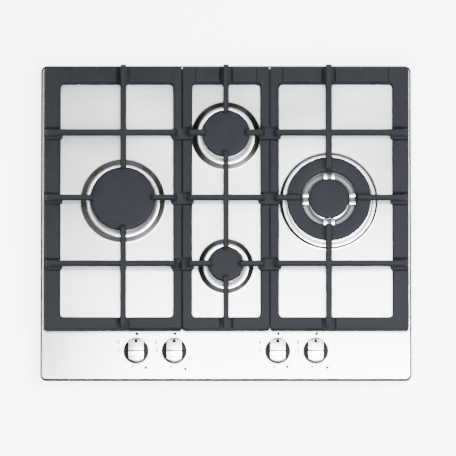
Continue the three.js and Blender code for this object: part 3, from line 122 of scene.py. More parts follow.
def finish(name, constants, tint, rough=None, relief=None, tangent=None):
    """A material whose colour, roughness and relief follow patterns at real scale.

    tint is (pattern, dark colour, light colour), rough is (pattern, low, high) and relief is (pattern, depth in mm).
    A pattern is blotches, as (size in mm, stretch, detail), or cells, as (cell in mm, "distance" or "colour").
    """
    material = bpy.data.materials.new(name)
    material.use_nodes = True
    tree = material.node_tree
    tree.nodes.clear()
    place = put(tree, "ShaderNodeTexCoord").outputs["Object"]
    made = {}

    def drawn(pattern):
        size, how = pattern[0], pattern[1]
        if pattern in made:
            return made[pattern]
        stretch = how if isinstance(how, tuple) else (1, 1, 1)
        scale = tuple(1 / (size * MM * s) for s in stretch)
        mapped = put(tree, "ShaderNodeMapping", {"Scale": scale}, {"Vector": place}).outputs[0]
        if how == "distance":
            value = put(tree, "ShaderNodeTexVoronoi", {"Scale": 1.0}, {"Vector": mapped}).outputs["Distance"]
        elif how == "colour":
            cells = put(tree, "ShaderNodeTexVoronoi", {"Scale": 1.0}, {"Vector": mapped}, feature="SMOOTH_F1")
            value = put(tree, "ShaderNodeRGBToBW", links={"Color": cells.outputs["Color"]}).outputs[0]
        else:
            noise = {"Scale": 1.0, "Detail": pattern[2]}
            value = put(tree, "ShaderNodeTexNoise", noise, {"Vector": mapped}).outputs["Fac"]
        made[pattern] = value
        return value

    ramp = put(tree, "ShaderNodeValToRGB", links={"Fac": drawn(tint[0])})
    for stop, position, text in zip(ramp.color_ramp.elements, (0.25, 0.75), tint[1:]):
        stop.position = position
        stop.color = colour(text)
    feeds = {"Base Color": ramp.outputs["Color"]}
    if rough:
        # Noise keeps to the middle of its range, and cells' colours fill more of it.
        low, high = (0.1, 0.9) if rough[0][1] == "colour" else (0.3, 0.7)
        span = {"From Min": low, "From Max": high, "To Min": rough[1], "To Max": rough[2]}
        feeds["Roughness"] = put(tree, "ShaderNodeMapRange", span, {"Value": drawn(rough[0])}).outputs[0]
    if relief:
        bump = put(tree, "ShaderNodeBump", {"Distance": relief[1] * MM, "Strength": 1.0}, {"Height": drawn(relief[0])})
        feeds["Normal"] = bump.outputs[0]
    if tangent:
        feeds["Tangent"] = put(tree, "ShaderNodeCombineXYZ", dict(zip("XYZ", tangent))).outputs[0]
    shader = put(tree, "ShaderNodeBsdfPrincipled", constants, feeds)
    put(tree, "ShaderNodeOutputMaterial", links={"Surface": shader.outputs[0]})
    return material


def blotches(size, stretch=(1, 1, 1), detail=2.0):
    return size, stretch, detail


METAL = {"Metallic": 1.0}

# Stainless sheet with a satin belt grind along X: reflections stay crisp along the grind and smear across it.
# The grind's lines are about 0.1 mm apart, and are drawn 0.7 mm apart so that they show.
GRIND = blotches(0.7, (90, 1, 1), 3.0)
STAINLESS = finish(
    "brushed_stainless", {"Metallic": 1.0, "Anisotropic": 0.6}, (GRIND, "#CDCED0", "#D6D7D8"),
    (blotches(70, (2.5, 1, 1)), 0.2, 0.27), (GRIND, 0.0015), tangent=(0.0, 1.0, 0.0))

# Acid-resistant enamel fired matt on iron: a dark blue-grey whose fine orange peel spreads the highlight.
CAP_ENAMEL = finish(
    "matt_cap_enamel", {"IOR": 1.52, "Specular IOR Level": 0.065}, (blotches(18, detail=3.0), "#17191D", "#1D1F23"),
    (blotches(18, detail=3.0), 0.5, 0.62), (blotches(1.1), 0.02))

# The same enamel on the rougher iron castings: the peel is coarser, so their tops look softer.
IRON_ENAMEL = finish(
    "matt_cast_iron_enamel", {"IOR": 1.52, "Specular IOR Level": 0.065},
    (blotches(18, detail=3.0), "#17191C", "#1D1F22"), (blotches(18, detail=3.0), 0.5, 0.62), (blotches(1.6), 0.05))

# Painted side shading: the enamel in another colour and with no shine, put on faces by their slope.
# They mirror nothing of the bright plate below.
PAINTED_SIDE_SHADING = finish(
    "painted_side_shading_enamel", {"IOR": 1.52, "Specular IOR Level": 0.0}, (blotches(18, detail=3.0), "#25272B", "#2C2E32"),
    (blotches(18, detail=3.0), 0.5, 0.62), (blotches(1.6), 0.05))

# Die-cast aluminium, shot blasted: bright grey with a fine sparkle. The blasted grain of about 0.2 mm is drawn
# 0.8 mm coarse so that it shows.
ALUMINIUM = finish(
    "blasted_aluminium", METAL, (blotches(9), "#C3C5C6", "#DADBDC"), (blotches(0.8), 0.28, 0.4), (blotches(0.8), 0.03))

# Die-cast aluminium as it leaves the mould: duller than the blasted pieces, and greyer as painted shade, so the
# channel looks deep.
SHADED_CAST = finish(
    "as_cast_aluminium_painted_shade", METAL, (blotches(2.5, detail=3.0), "#707274", "#8C8E90"),
    (blotches(2.5, detail=3.0), 0.6, 0.75), (blotches(2.5, detail=3.0), 0.05))

# The rounded edge of the plate, a dull dark brown as painted shade: it draws a fine dark outline.
EDGE = finish(
    "painted_edge_shade", {"IOR": 1.5, "Specular IOR Level": 0.0}, (blotches(2), "#2B2622", "#37312C"),
    (blotches(2), 0.55, 0.7))

# Stainless painted darker on the seats' slopes, as painted shade: a grey metal whose ring is light or dark with
# what it faces. The press lines are finer than 0.1 mm, and are drawn 0.6 mm apart so that they show.
PRESS_LINES = blotches(0.6, (1, 1, 14))
SHADED_SLOPE_STAINLESS = finish(
    "painted_shade_stainless", METAL, (PRESS_LINES, "#706E6B", "#807E7B"), (PRESS_LINES, 0.22, 0.3))

# Painted shade on the knobs' sides and in the bridges' grooves: a dull dark copy of the plating beside the bright
# tops.
SHADED_PLATING = finish("painted_shade_plating", METAL, (PRESS_LINES, "#45474A", "#56585B"), (PRESS_LINES, 0.4, 0.55))

# Drawn aluminium tube: satin, with faint lines along it. They are about 0.1 mm apart, and are drawn 0.6 mm apart.
DRAWING = blotches(0.6, (12, 12, 1))
TUBE = finish("drawn_aluminium", METAL, (DRAWING, "#BFC1C3", "#D2D4D5"), (DRAWING, 0.3, 0.42))

# Satin chrome plating on brushed castings: very bright, softly mirrored. The brush lines are about 0.1 mm apart, and
# are drawn 0.5 mm apart so that they show.
BRUSHING = blotches(0.5, (40, 1, 1))
PLATING = finish(
    "satin_chrome_plating", METAL, (BRUSHING, "#D4D5D6", "#E2E3E4"), (BRUSHING, 0.2, 0.28), (BRUSHING, 0.003))

# Matt skirt under a knob's grip, dark as painted shade: it draws the shade line round the knob, dark between bright
# metal.
SKIRT_SHADE = finish(
    "painted_shade_skirt", {"IOR": 1.5, "Specular IOR Level": 0.05}, (blotches(1.2), "#1B1C1E", "#242527"),
    (blotches(1.2), 0.45, 0.6))

# Hot-dip zinc on mild steel: flat grey with large soft crystals.
SPANGLE = (9, "colour")
ZINC = finish(
    "zinc_coated_sheet", METAL, (SPANGLE, "#666B70", "#7D8287"), (SPANGLE, 0.36, 0.52), (blotches(3), 0.02))

# Turned brass, slightly dulled in the air: a warm yellow with fine rings. The turning marks of about 0.1 mm are
# drawn 0.2 mm apart.
TURNING = blotches(0.5, (1, 1, 0.4))
BRASS = finish(
    "machined_brass", METAL, (blotches(12), "#B08D4A", "#CDAA63"), (TURNING, 0.24, 0.38), (TURNING, 0.01))

# White steatite with a thin glaze: warm white with a small sharp highlight.
CERAMIC = finish(
    "glazed_ceramic", {"IOR": 1.5, "Coat Weight": 0.4, "Coat Roughness": 0.1}, (blotches(4), "#E2DED2", "#F0EDE4"),
    (blotches(4), 0.3, 0.4))

# Moulded black silicone: dull, with a faint bloom.
SILICONE = finish(
    "black_silicone_rubber", {"IOR": 1.42}, (blotches(2.5), "#191A1B", "#252627"), (blotches(2.5), 0.6, 0.75),
    (blotches(2.5), 0.02))

# Closed-cell foam strip: black, with cells of 0.9 mm.
CELLS = (0.9, "distance")
FOAM = finish("closed_cell_foam", {"IOR": 1.45}, (CELLS, "#141516", "#2B2C2E"), (CELLS, 0.8, 0.95), (CELLS, 0.15))

# Light grey heat-resistant polyamide from a spark-eroded mould: an even, dull grain. The grain of about 0.2 mm is
# drawn 0.7 mm coarse so that it shows.
POLYAMIDE = finish(
    "moulded_polyamide", {"IOR": 1.53}, (blotches(15), "#CBCBC5", "#D8D8D2"), (blotches(0.7), 0.5, 0.62),
    (blotches(0.7), 0.03))

# Screen-printed ink, baked on: a thin even film with no shine of its own.
INK = {"IOR": 1.5, "Specular IOR Level": 0.05}
BLACK_INK = finish("black_printing_ink", INK, (blotches(0.5), "#040405", "#070708"), (blotches(0.5), 0.5, 0.6))
GREY_INK = finish("grey_printing_ink", INK, (blotches(0.5), "#A9ABB0", "#B4B6BA"), (blotches(0.5), 0.5, 0.6))

# Matt white floor paint that glows a little, as a studio sweep lit from behind: it stays pale under the object.
FLOOR_PAINT = finish(
    "pale_floor_paint",
    {
        "Roughness": 0.9, "Specular IOR Level": 0.1, "Emission Color": colour("#FFFFFF"),
        "Emission Strength": 4.6,
    },
    (blotches(400), "#F4F4F3", "#F8F8F8"))

# ---------------------------------------------------------------------------------------------------
# Making a piece
# ---------------------------------------------------------------------------------------------------


def piece_from(bm, name, material, body, stands_for=(), crease=35):
    """Turns a bmesh in millimetres into a piece that rides on a body and stands for some CAD nodes."""
    bmesh.ops.remove_doubles(bm, verts=bm.verts, dist=0.001)
    bmesh.ops.recalc_face_normals(bm, faces=bm.faces)
    bmesh.ops.scale(bm, vec=(MM, MM, MM), verts=bm.verts)
    mesh = bpy.data.meshes.new(name)
    bm.to_mesh(mesh)
    bm.free()
    mesh.shade_smooth()
    mesh.set_sharp_from_angle(angle=math.radians(crease))
    piece = bpy.data.objects.new(name, mesh)
    bpy.context.scene.collection.objects.link(piece)
    mesh.materials.append(material)
    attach(piece, body)
    if stands_for:
        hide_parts(*stands_for)
    return piece


def spun(bm, profile, steps=96, closed=False):
    """Turns a profile of (radius, height) points about an upright axis."""
    verts = [bm.verts.new((r, 0, z)) for r, z in profile]
    pairs = list(zip(verts, verts[1:])) + ([(verts[-1], verts[0])] if closed else [])
    edges = [bm.edges.new(pair) for pair in pairs]
    bmesh.ops.spin(
        bm, geom=verts + edges, cent=(0, 0, 0), axis=(0, 0, 1), angle=2 * math.pi, steps=steps, use_merge=True)
    bmesh.ops.remove_doubles(bm, verts=bm.verts, dist=0.0005)


def shift(bm, at):
    """Moves a bmesh by (x, y) or (x, y, z)."""
    bmesh.ops.translate(bm, vec=(at[0], at[1], at[2] if len(at) > 2 else 0), verts=bm.verts)


def raised(bm, faces, by):
    """Draws faces out along a vector."""
    out = bmesh.ops.extrude_face_region(bm, geom=faces)
    bmesh.ops.translate(bm, vec=by, verts=[v for v in out["geom"] if isinstance(v, bmesh.types.BMVert)])


def round_edges(bm, radius, segments=3, angle=30, only=None):
    """Rounds the edges that are sharper than an angle, or those of them that only() picks."""
    sharp = [e for e in bm.edges if len(e.link_faces) == 2 and e.calc_face_angle(0) > math.radians(angle)]
    picked = [e for e in sharp if only is None or only(e)]
    bmesh.ops.bevel(
        bm, geom=picked, offset=radius, segments=segments, profile=0.5, affect="EDGES", material=-1,
        clamp_overlap=True)


def trimmed(bm, point, normal):
    """Cuts off what lies past a plane and closes the cut."""
    made = bmesh.ops.bisect_plane(
        bm, geom=bm.verts[:] + bm.edges[:] + bm.faces[:], dist=0.0001, plane_co=point, plane_no=normal,
        clear_outer=True)
    rim = [e for e in made["geom_cut"] if isinstance(e, bmesh.types.BMEdge)]
    bmesh.ops.edgenet_fill(bm, edges=rim)


def joined(bm, part, turn=0.0):
    """Adds a bmesh to another, turned by an angle about the upright axis, and lets go of it."""
    bmesh.ops.rotate(part, cent=(0, 0, 0), matrix=Matrix.Rotation(turn, 3, "Z"), verts=part.verts)
    scratch = bpy.data.meshes.new("part")
    part.to_mesh(scratch)
    part.free()
    bm.from_mesh(scratch)
    bpy.data.meshes.remove(scratch)


def disc(bm, radius, z, segments):
    """A flat round face on the axis."""
    made = bmesh.ops.create_circle(bm, cap_ends=True, radius=radius, segments=segments)
    bmesh.ops.translate(bm, vec=(0, 0, z), verts=made["verts"])
    return made["verts"]


UPRIGHT = 0.3  # a face whose normal rises less than this is a side, and gets the painted side shading


def paint_side_shading(piece):
    """Gives the upright sides and the underside the painted side shading."""
    piece.data.materials.append(PAINTED_SIDE_SHADING)
    for face in piece.data.polygons:
        face.material_index = 1 if face.normal.z < UPRIGHT else 0


def softened(node, name, material, body, radius, segments=2, angle=28):
    """A copy of a CAD node with its facets merged and its edges rounded."""
    bm = bmesh.new()
    bm.from_mesh(nodes[node].data)
    bmesh.ops.scale(bm, vec=(1 / MM, 1 / MM, 1 / MM), verts=bm.verts)
    bmesh.ops.remove_doubles(bm, verts=bm.verts, dist=0.002)
    bmesh.ops.dissolve_limit(bm, angle_limit=math.radians(0.5), verts=bm.verts, edges=bm.edges)
    round_edges(bm, radius, segments, angle)
    piece = piece_from(bm, name, material, body, [node], crease=32)
    even = piece.modifiers.new("even_shading", "WEIGHTED_NORMAL")
    even.keep_sharp = True
    even.weight = 100
    return piece


# ---------------------------------------------------------------------------------------------------
# Plate
# ---------------------------------------------------------------------------------------------------


SEAT_SURROUND = 2.5  # flat sheet that belongs to a seat's ring, outside its foot
SLOPE_STEPS = 6
SLOPE_HOLLOW = 1.1  # 1 is a straight slope, more is a hollow one
DISH = [(3, 0.06), (5.5, 0.25), (8, 0.6), (9.5, SEAT_DISH)]  # (in from the shoulder, fall)
EDGE_BAND = 1.2  # the band of painted edge shade inside the rounded rim
FRONT_BAND_GAIN = 1.1 / 7  # how much broader the band gets, per mm, past FRONT_BAND_FROM
FRONT_BAND_FROM = -245
MAIN, EDGE_SHADE, SLOPE_SHADE = range(3)  # the plate's materials


def plate_seat(bm, burner):
    """The raised ring round a burner, from the flat sheet in to the hole for the burner cup."""
    foot, shoulder = burner["foot"], burner["shoulder"]
    run = foot - shoulder
    rise = SEAT_TOP - PLATE_TOP
    soft = min(1.4, run * 0.45)  # how far the bends at foot and shoulder reach
    profile = [(foot + SEAT_SURROUND, PLATE_TOP), (foot + soft * 0.35, PLATE_TOP)]
    profile += [(foot - soft * 0.35, PLATE_TOP + rise * soft * 0.18 / run)]
    for i in range(SLOPE_STEPS):
        along = soft * 0.8 + (run - soft * 1.2) * i / SLOPE_STEPS
        profile.append((foot - along, PLATE_TOP + rise * (along / run) ** SLOPE_HOLLOW))
    profile += [(shoulder + soft * 0.2, SEAT_TOP - rise * 0.06), (shoulder - soft * 0.3, SEAT_TOP)]
    # Inside the shoulder the seat is dished, so spilt liquid stays off the burner's cup.
    profile += [(shoulder - inward, SEAT_TOP - fall) for inward, fall in DISH]
    profile += [(burner["crown"] - CROWN_WALL + 1, SEAT_TOP - SEAT_DISH)]
    ring = bmesh.new()
    spun(ring, profile)
    for face in ring.faces:
        # The slope between foot and shoulder gets the painted shade.
        on_slope = shoulder + 0.2 < face.calc_center_median().xy.length < foot + 0.1
        face.material_index = SLOPE_SHADE if on_slope else MAIN
    shift(ring, burner["at"])
    joined(bm, ring)


def top_plate():
    """The pressed plate: a rounded sheet with a folded rim, whose flat is filled in round the seats and holes."""
    bm = bmesh.new()
    bmesh.ops.create_grid(bm, x_segments=1, y_segments=1, size=1)
    bmesh.ops.scale(bm, vec=(*PLATE_HALF, 1), verts=bm.verts)
    shift(bm, (0, 0, PLATE_TOP))
    bmesh.ops.bevel(
        bm, geom=bm.verts[:], offset=PLATE_CORNER, segments=10, profile=0.5, affect="VERTICES", material=-1)
    down = bmesh.ops.extrude_edge_only(bm, edges=[e for e in bm.edges if e.is_boundary])
    skirt = [v for v in down["geom"] if isinstance(v, bmesh.types.BMVert)]
    bmesh.ops.translate(bm, vec=(0, 0, -RIM_DROP), verts=skirt)
    rim = [e for e in bm.edges if len(e.link_faces) == 2 and e.calc_face_angle(0) > 1]
    bmesh.ops.bevel(bm, geom=rim, offset=RIM_ROUND, segments=4, profile=0.5, affect="EDGES", material=-1)
    flat = max(bm.faces, key=lambda f: f.calc_area())
    bmesh.ops.inset_region(bm, faces=[flat], thickness=EDGE_BAND, use_even_offset=True)
    flat = max(bm.faces, key=lambda f: f.calc_area())
    # The band of painted edge shade is broader along the front.
    for v in flat.verts:
        if v.co.y < FRONT_BAND_FROM:
            v.co.y += FRONT_BAND_GAIN * (FRONT_BAND_FROM - v.co.y)
    bmesh.ops.delete(bm, geom=[flat], context="FACES_ONLY")
    # The rim and the band inside it get the painted edge shade.
    for face in bm.faces:
        on_edge = min(v.co.z for v in face.verts) > PLATE_TOP - RIM_ROUND - 0.2
        face.material_index = EDGE_SHADE if on_edge else MAIN
    outline = [e for e in bm.edges if len(e.link_faces) == 1 and e.verts[0].co.z > PLATE_TOP - 1]

    holes = []
    for burner in [*BURNERS.values(), WOK]:
        plate_seat(bm, burner)
        holes.append((burner["at"], burner["foot"] + SEAT_SURROUND))
    for at in KNOBS:
        ring = bmesh.new()
        around = SPINDLE_HOLE + 1.5
        spun(ring, [(SPINDLE_HOLE, PLATE_TOP), (around, PLATE_TOP)], steps=24)
        shift(ring, at)
        joined(bm, ring)
        holes.append((at, around))
    bm.edges.ensure_lookup_table()

    def on_a_hole(edge):
        middle = (edge.verts[0].co + edge.verts[1].co) / 2
        return abs(middle.z - PLATE_TOP) < 0.01 and any(
            all(abs((v.co.xy - Vector(at)).length - r) < 0.01 for v in edge.verts) for at, r in holes)

    edges = outline + [e for e in bm.edges if len(e.link_faces) < 2 and on_a_hole(e)]
    bmesh.ops.triangle_fill(bm, use_beauty=True, use_dissolve=False, edges=edges, normal=(0, 0, 1))
    piece = piece_from(bm, "stainless_top_plate", STAINLESS, "hob", ["top_plate"], crease=28)
    # Second material: the painted edge shade; third: the painted shade on the seats' slopes.
    piece.data.materials.append(EDGE)
    piece.data.materials.append(SHADED_SLOPE_STAINLESS)
    wall = piece.modifiers.new("sheet", "SOLIDIFY")
    wall.thickness = PLATE_SHEET * MM
    wall.offset = -1


top_plate()

# ---------------------------------------------------------------------------------------------------
# Burners
# ---------------------------------------------------------------------------------------------------


def cap_edges_rounded(bm, depth):
    """Rounds a cap's top edges, which lie within a depth of its top, and its lower ones less."""
    round_edges(bm, 1.7, 4, 50, lambda e: min(v.co.z for v in e.verts) > CAP_TOP - depth)
    round_edges(bm, 0.5, 2, 60, lambda e: max(v.co.z for v in e.verts) < CAP_TOP - 3)


def burner_cap(name, node, body, at, radius, crown_inside):
    """A flat cap with a faint dome, located by a ring that drops inside the crown."""
    lip = crown_inside - 0.3
    bm = bmesh.new()
    spun(bm, [
        (0, CAP_BOTTOM + LIP_DROP), (lip - 2.5, CAP_BOTTOM + LIP_DROP), (lip - 2.5, CAP_BOTTOM - LIP_DROP),
        (lip, CAP_BOTTOM - LIP_DROP), (lip, CAP_BOTTOM), (radius, CAP_BOTTOM), (radius, CAP_TOP - 0.7),
        (radius - 6, CAP_TOP - 0.25), (radius * 0.5, CAP_TOP - 0.06), (0, CAP_TOP),
    ])
    cap_edges_rounded(bm, 1)
    shift(bm, at)
    # The cap's sides get the painted side shading.
    paint_side_shading(piece_from(bm, name, CAP_ENAMEL, body, [node]))


PORT_WIDTH = 2.2


def crown_teeth(bm, inner, outer, count):
    """A ring of teeth with a flame port between each two."""
    pitch = 2 * math.pi / count
    slot = PORT_WIDTH / outer
    bottom = CROWN_TOP - PORT_RING - 0.2  # a little into the ring below
    profile = [(inner, bottom), (outer, bottom), (outer, CROWN_TOP), (inner, CROWN_TOP)]
    tooth = bmesh.new()
    face = tooth.faces.new([tooth.verts.new((r, 0, z)) for r, z in profile])
    bmesh.ops.rotate(tooth, cent=(0, 0, 0), matrix=Matrix.Rotation(slot / 2, 3, "Z"), verts=tooth.verts)
    steps = max(3, round(96 / count))
    bmesh.ops.spin(
        tooth, geom=[face], cent=(0, 0, 0), axis=(0, 0, 1), angle=pitch - slot, steps=steps, use_merge=False)
    bmesh.ops.recalc_face_normals(tooth, faces=tooth.faces)
    round_edges(tooth, 0.35, 2, 50)
    for i in range(count):
        joined(bm, tooth.copy(), (i + 0.5) * pitch)
    tooth.free()


def burner_crown(name, node, body, burner):
    """A crown with its mixing tube below it and its ring of teeth on top."""
    bm = bmesh.new()
    outer = burner["crown"]
    inner = outer - CROWN_WALL
    ring = CROWN_TOP - PORT_RING
    spun(bm, [
        (TUBE_BORE, TUBE_BOTTOM), (TUBE_OUTER, TUBE_BOTTOM), (TUBE_OUTER, CROWN_BOTTOM), (outer, CROWN_BOTTOM),
        (outer, ring), (inner, ring), (inner, CROWN_FLOOR), (TUBE_BORE, CROWN_FLOOR),
    ], closed=True)
    round_edges(bm, 0.5, 2, 50)
    crown_teeth(bm, inner, outer, burner["ports"])
    shift(bm, burner["at"])
    piece_from(bm, name, ALUMINIUM, body, [node])


def burner_cup(name, node, burner, turn):
    """The cup under a crown, with its hexagonal injector holder and the inlet that the pipe comes to."""
    bm = bmesh.new()
    wall = burner["crown"] - CROWN_WALL
    inside = wall - CUP_WALL
    floor = CUP_TOP - CUP_DEPTH
    flange, under = burner["flange"], SEAT_TOP - 0.6
    jet, jet_depth = 3, 5
    spun(bm, [
        (0, floor - CUP_WALL), (HOLDER_RADIUS, floor - CUP_WALL), (wall, floor), (wall, under), (flange, under),
        (flange, CUP_TOP), (inside, CUP_TOP), (inside, floor + CUP_WALL), (jet, floor), (jet, floor - jet_depth),
        (0, floor - jet_depth),
    ])
    round_edges(bm, 0.6, 3, 50, lambda e: min(v.co.z for v in e.verts) > SEAT_TOP - 1)
    holder = bmesh.new()
    chamfer, top = 0.8, floor - 1.5
    spun(holder, [
        (0, HOLDER_BOTTOM), (HOLDER_RADIUS - chamfer, HOLDER_BOTTOM), (HOLDER_RADIUS, HOLDER_BOTTOM + chamfer),
        (HOLDER_RADIUS, top), (0, top),
    ], steps=6)
    inlet = bmesh.new()
    spun(inlet, [(0, 0), (5.5, 0), (5.5, 17.4), (4.9, 18), (0, 18)], steps=32)
    bmesh.ops.rotate(inlet, cent=(0, 0, 0), matrix=Matrix.Rotation(math.radians(90), 3, "X"), verts=inlet.verts)
    bmesh.ops.rotate(inlet, cent=(0, 0, 0), matrix=Matrix.Rotation(math.radians(turn), 3, "Z"), verts=inlet.verts)
    shift(inlet, (0, 0, HOLDER_BOTTOM + 5.5))
    joined(bm, holder)
    joined(bm, inlet)
    shift(bm, burner["at"])
    piece_from(bm, name, ALUMINIUM, "hob", [node])


INLET_TURNS = {"left": 0, "rear": -90, "front": 90, "right": 0}
for name, burner in BURNERS.items():
    inside = burner["crown"] - CROWN_WALL
    burner_cap(f"{name}_cap", f"{name}_burner_cap", f"{name}_cap", burner["at"], burner["cap"], inside)
    burner_crown(f"{name}_crown", f"{name}_burner_crown", f"{name}_crown", burner)
    burner_cup(f"{name}_cup", f"{name}_burner_cup", burner, INLET_TURNS[name])
burner_cup("right_cup", "right_burner_cup", WOK, INLET_TURNS["right"])
burner_cap(
    "wok_centre_cap", "right_burner_centre_cap", "right_centre_cap", WOK["at"], WOK_CENTRE_CAP,
    WOK_CENTRE_WALL[0])


def wok_ring_cap():
    """The ring cap, located by a ring that drops between the crown's two outer walls."""
    bm = bmesh.new()
    inner, outer = WOK_RING_INNER, WOK_RING_OUTER
    lip = (WOK_CHANNEL_WALL[1] + 0.3, WOK_PORT_WALL[0] - 0.3)
    spun(bm, [
        (inner, CAP_BOTTOM), (lip[0], CAP_BOTTOM), (lip[0], CAP_BOTTOM - LIP_DROP), (lip[1], CAP_BOTTOM - LIP_DROP),
        (lip[1], CAP_BOTTOM), (outer, CAP_BOTTOM), (outer, CAP_TOP - 0.9), (outer - 5, CAP_TOP - 0.65),
        (inner + 5, CAP_TOP - 0.65), (inner, CAP_TOP - 0.9),
    ], closed=True)
    cap_edges_rounded(bm, 1.5)
    shift(bm, WOK["at"])
    piece = piece_from(bm, "wok_ring_cap", CAP_ENAMEL, "right_ring_cap", ["right_burner_ring_cap"])
    # The ring cap's sides get the painted side shading.
    paint_side_shading(piece)


def wok_crown():
    """The double crown, with an air channel between its two rings of ports."""
    floor, ring = CROWN_FLOOR, CROWN_TOP - PORT_RING
    centre, channel, port = WOK_CENTRE_WALL, WOK_CHANNEL_WALL, WOK_PORT_WALL
    trough, under = 55.5, 52.5  # the channel has sloping walls and a narrow floor, 3 mm thick
    bm = bmesh.new()
    spun(bm, [
        (TUBE_BORE, TUBE_BOTTOM), (TUBE_OUTER, TUBE_BOTTOM), (TUBE_OUTER, CROWN_BOTTOM), (31, CROWN_BOTTOM),
        (34.5, under), (42, under), (48.5, CROWN_BOTTOM), (port[1], CROWN_BOTTOM), (port[1], ring), (port[0], ring),
        (port[0], floor), (channel[1], floor), (channel[1], CROWN_TOP), (channel[0], CROWN_TOP),
        (channel[0], floor), (41, trough), (36, trough), (32, floor), (centre[1], floor), (centre[1], ring),
        (centre[0], ring), (centre[0], floor), (TUBE_BORE, floor),
    ], closed=True)
    round_edges(bm, 0.5, 2, 50)
    crown_teeth(bm, *port, 18)
    crown_teeth(bm, *centre, 8)
    shift(bm, WOK["at"])
    # The crown takes the greyer aluminium with painted shade.
    piece_from(bm, "wok_crown", SHADED_CAST, "right_crown", ["right_burner_crown"])


def wok_bridges():
    """Four bridges that carry the flame over the air channel, and the bright lip round the centre cap."""
    floor = CROWN_FLOOR
    near = WOK_CENTRE_CAP + 0.6
    far = math.sqrt((WOK_RING_INNER - 0.6) ** 2 - BRIDGE_HALF ** 2)
    top = CROWN_TOP + 2.4
    half, (low, high) = BRIDGE_HALF, GROOVE_HALF
    section = [
        (-half, floor - 1.7), (half, floor - 1.7), (half, top), (high, top), (low, top - GROOVE_DEPTH),
        (-low, top - GROOVE_DEPTH), (-high, top), (-half, top),
    ]
    bridges = bmesh.new()
    for quarter in range(4):
        bridge = bmesh.new()
        face = bridge.faces.new([bridge.verts.new((x, near, z)) for x, z in section])
        raised(bridge, [face], (0, far - near, 0))
        bmesh.ops.recalc_face_normals(bridge, faces=bridge.faces)
        round_edges(bridge, 0.3, 2, 30)
        # The grooves get the painted shade.
        for face in bridge.faces:
            middle = face.calc_center_median()
            in_groove = abs(middle.x) < (low + high) / 2 and middle.z < top - 0.3 and face.normal.z > -0.1
            face.material_index = 1 if in_groove else 0
        joined(bridges, bridge, quarter * math.pi / 2)
    lip = bmesh.new()
    spun(lip, [
        (30.4, floor - 0.2), (31.6, floor - 0.2), (32.2, floor + 0.6), (32.2, floor + 1.6), (30.4, floor + 2.2),
    ], closed=True)
    joined(bridges, lip)
    shift(bridges, WOK["at"])
    piece = piece_from(bridges, "wok_bridges", PLATING, "right_crown")
    piece.data.materials.append(SHADED_PLATING)


wok_ring_cap()
wok_crown()
wok_bridges()


def igniter(name, node):
    """A ceramic rod with a collar, and the spark pin at its tip."""
    low, high = (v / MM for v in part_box(node))
    middle = (low + high) / 2
    bm = bmesh.new()
    rod, collar, pin = 2.2, 4.1, 0.9
    bottom, top, tip = 35.8, CUP_TOP + 6, CUP_TOP + 9
    spun(bm, [
        (0, bottom), (rod, bottom), (rod, 50.5), (collar, 50.5), (collar, 54.5), (rod, 54.5), (rod, top - 0.5),
        (rod - 0.5, top), (pin, top), (pin, tip - 0.4), (pin - 0.3, tip), (0, tip),
    ], steps=24)
    shift(bm, (middle.x, middle.y))
    piece_from(bm, name, CERAMIC, "hob", [node])


for name in ("left", "rear", "front", "right"):
    igniter(f"{name}_spark_igniter", f"{name}_igniter")

# ---------------------------------------------------------------------------------------------------
# Pan supports
# ---------------------------------------------------------------------------------------------------

# Enamel fills the corners and stands out from the bare casting, so rails and bars are a little broader and only a
# hairline is left between two supports. Each pair is a place on the bare casting and where its enamel comes to.
GROWN_X = {
    "left": [
        (-289, -289.5), (-266.7, -263.1), (-250, -250), (-180, -180), (-167.4, -168), (-160.6, -158.6), (-148, -148),
        (-95, -95), (-83.4, -84.1), (-70.2, -69.83),
    ],
    "centre": [
        (-69.4, -69.77), (-56.2, -53.7), (-45, -45), (-15, -15), (-3.4, -4.2), (3.4, 4.4), (15, 15), (45, 45),
        (56.2, 54.5), (69.4, 69.77),
    ],
    "right": [
        (70.2, 69.83), (83.4, 84.5), (95, 95), (148, 148), (160.6, 158.6), (167.4, 168.6), (180, 180), (250, 250),
        (266.7, 264.8), (289, 290.8),
    ],
}
GROWN_Y = [
    (-174.5, -175.1), (-157, -155.9), (-145, -145), (-90, -90), (-73.4, -75.3), (-66.6, -67.4), (-50, -50), (15, 15),
    (32.1, 31.1), (38.9, 38.8), (55, 55), (120, 120), (137.6, 135.7), (144.4, 144.4), (160, 160), (205, 205),
    (225.5, 223.3), (249, 248.6),
]
# The bars' ends at the back stand out past the rail.
BAR_END_HEIGHT = 78.5
BAR_END_FROM = 238
BAR_END_GAIN = 2.8


def support_foot(name, node, body):
    """A rubber foot with the stud that holds it in the casting."""
    low, high = (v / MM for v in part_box(node))
    shoulder, stud = low.z + 4, 2.6
    bm = bmesh.new()
    spun(bm, [
        (0, low.z), (5, low.z), (6, shoulder - 0.6), (5.6, shoulder), (stud, shoulder), (stud, high.z - 0.4),
        (stud - 0.4, high.z), (0, high.z),
    ], steps=32)
    shift(bm, ((low.x + high.x) / 2, (low.y + high.y) / 2))
    piece_from(bm, name, SILICONE, body, [node])


for name in ("left", "centre", "right"):
    body = f"{name}_support"
    support = softened(f"{name}_pan_support", f"{name}_cast_support", IRON_ENAMEL, body, 0.6)
    for v in support.data.vertices:
        v.co.x = np.interp(v.co.x / MM, *zip(*GROWN_X[name])) * MM
        v.co.y = np.interp(v.co.y / MM, *zip(*GROWN_Y)) * MM
        if v.co.z > BAR_END_HEIGHT * MM and v.co.y > BAR_END_FROM * MM:
            v.co.y += BAR_END_GAIN * MM
    # The supports' upright sides get the painted side shading.
    paint_side_shading(support)
    for i in range(1, 5):
        support_foot(f"{name}_foot_{i}", f"{name}_support_foot_{i}", body)

# ---------------------------------------------------------------------------------------------------
# Knobs
# ---------------------------------------------------------------------------------------------------


GRIP_RADIUS = 18.5
GRIP_HALF = 12.1  # middle of the grip to its flanks
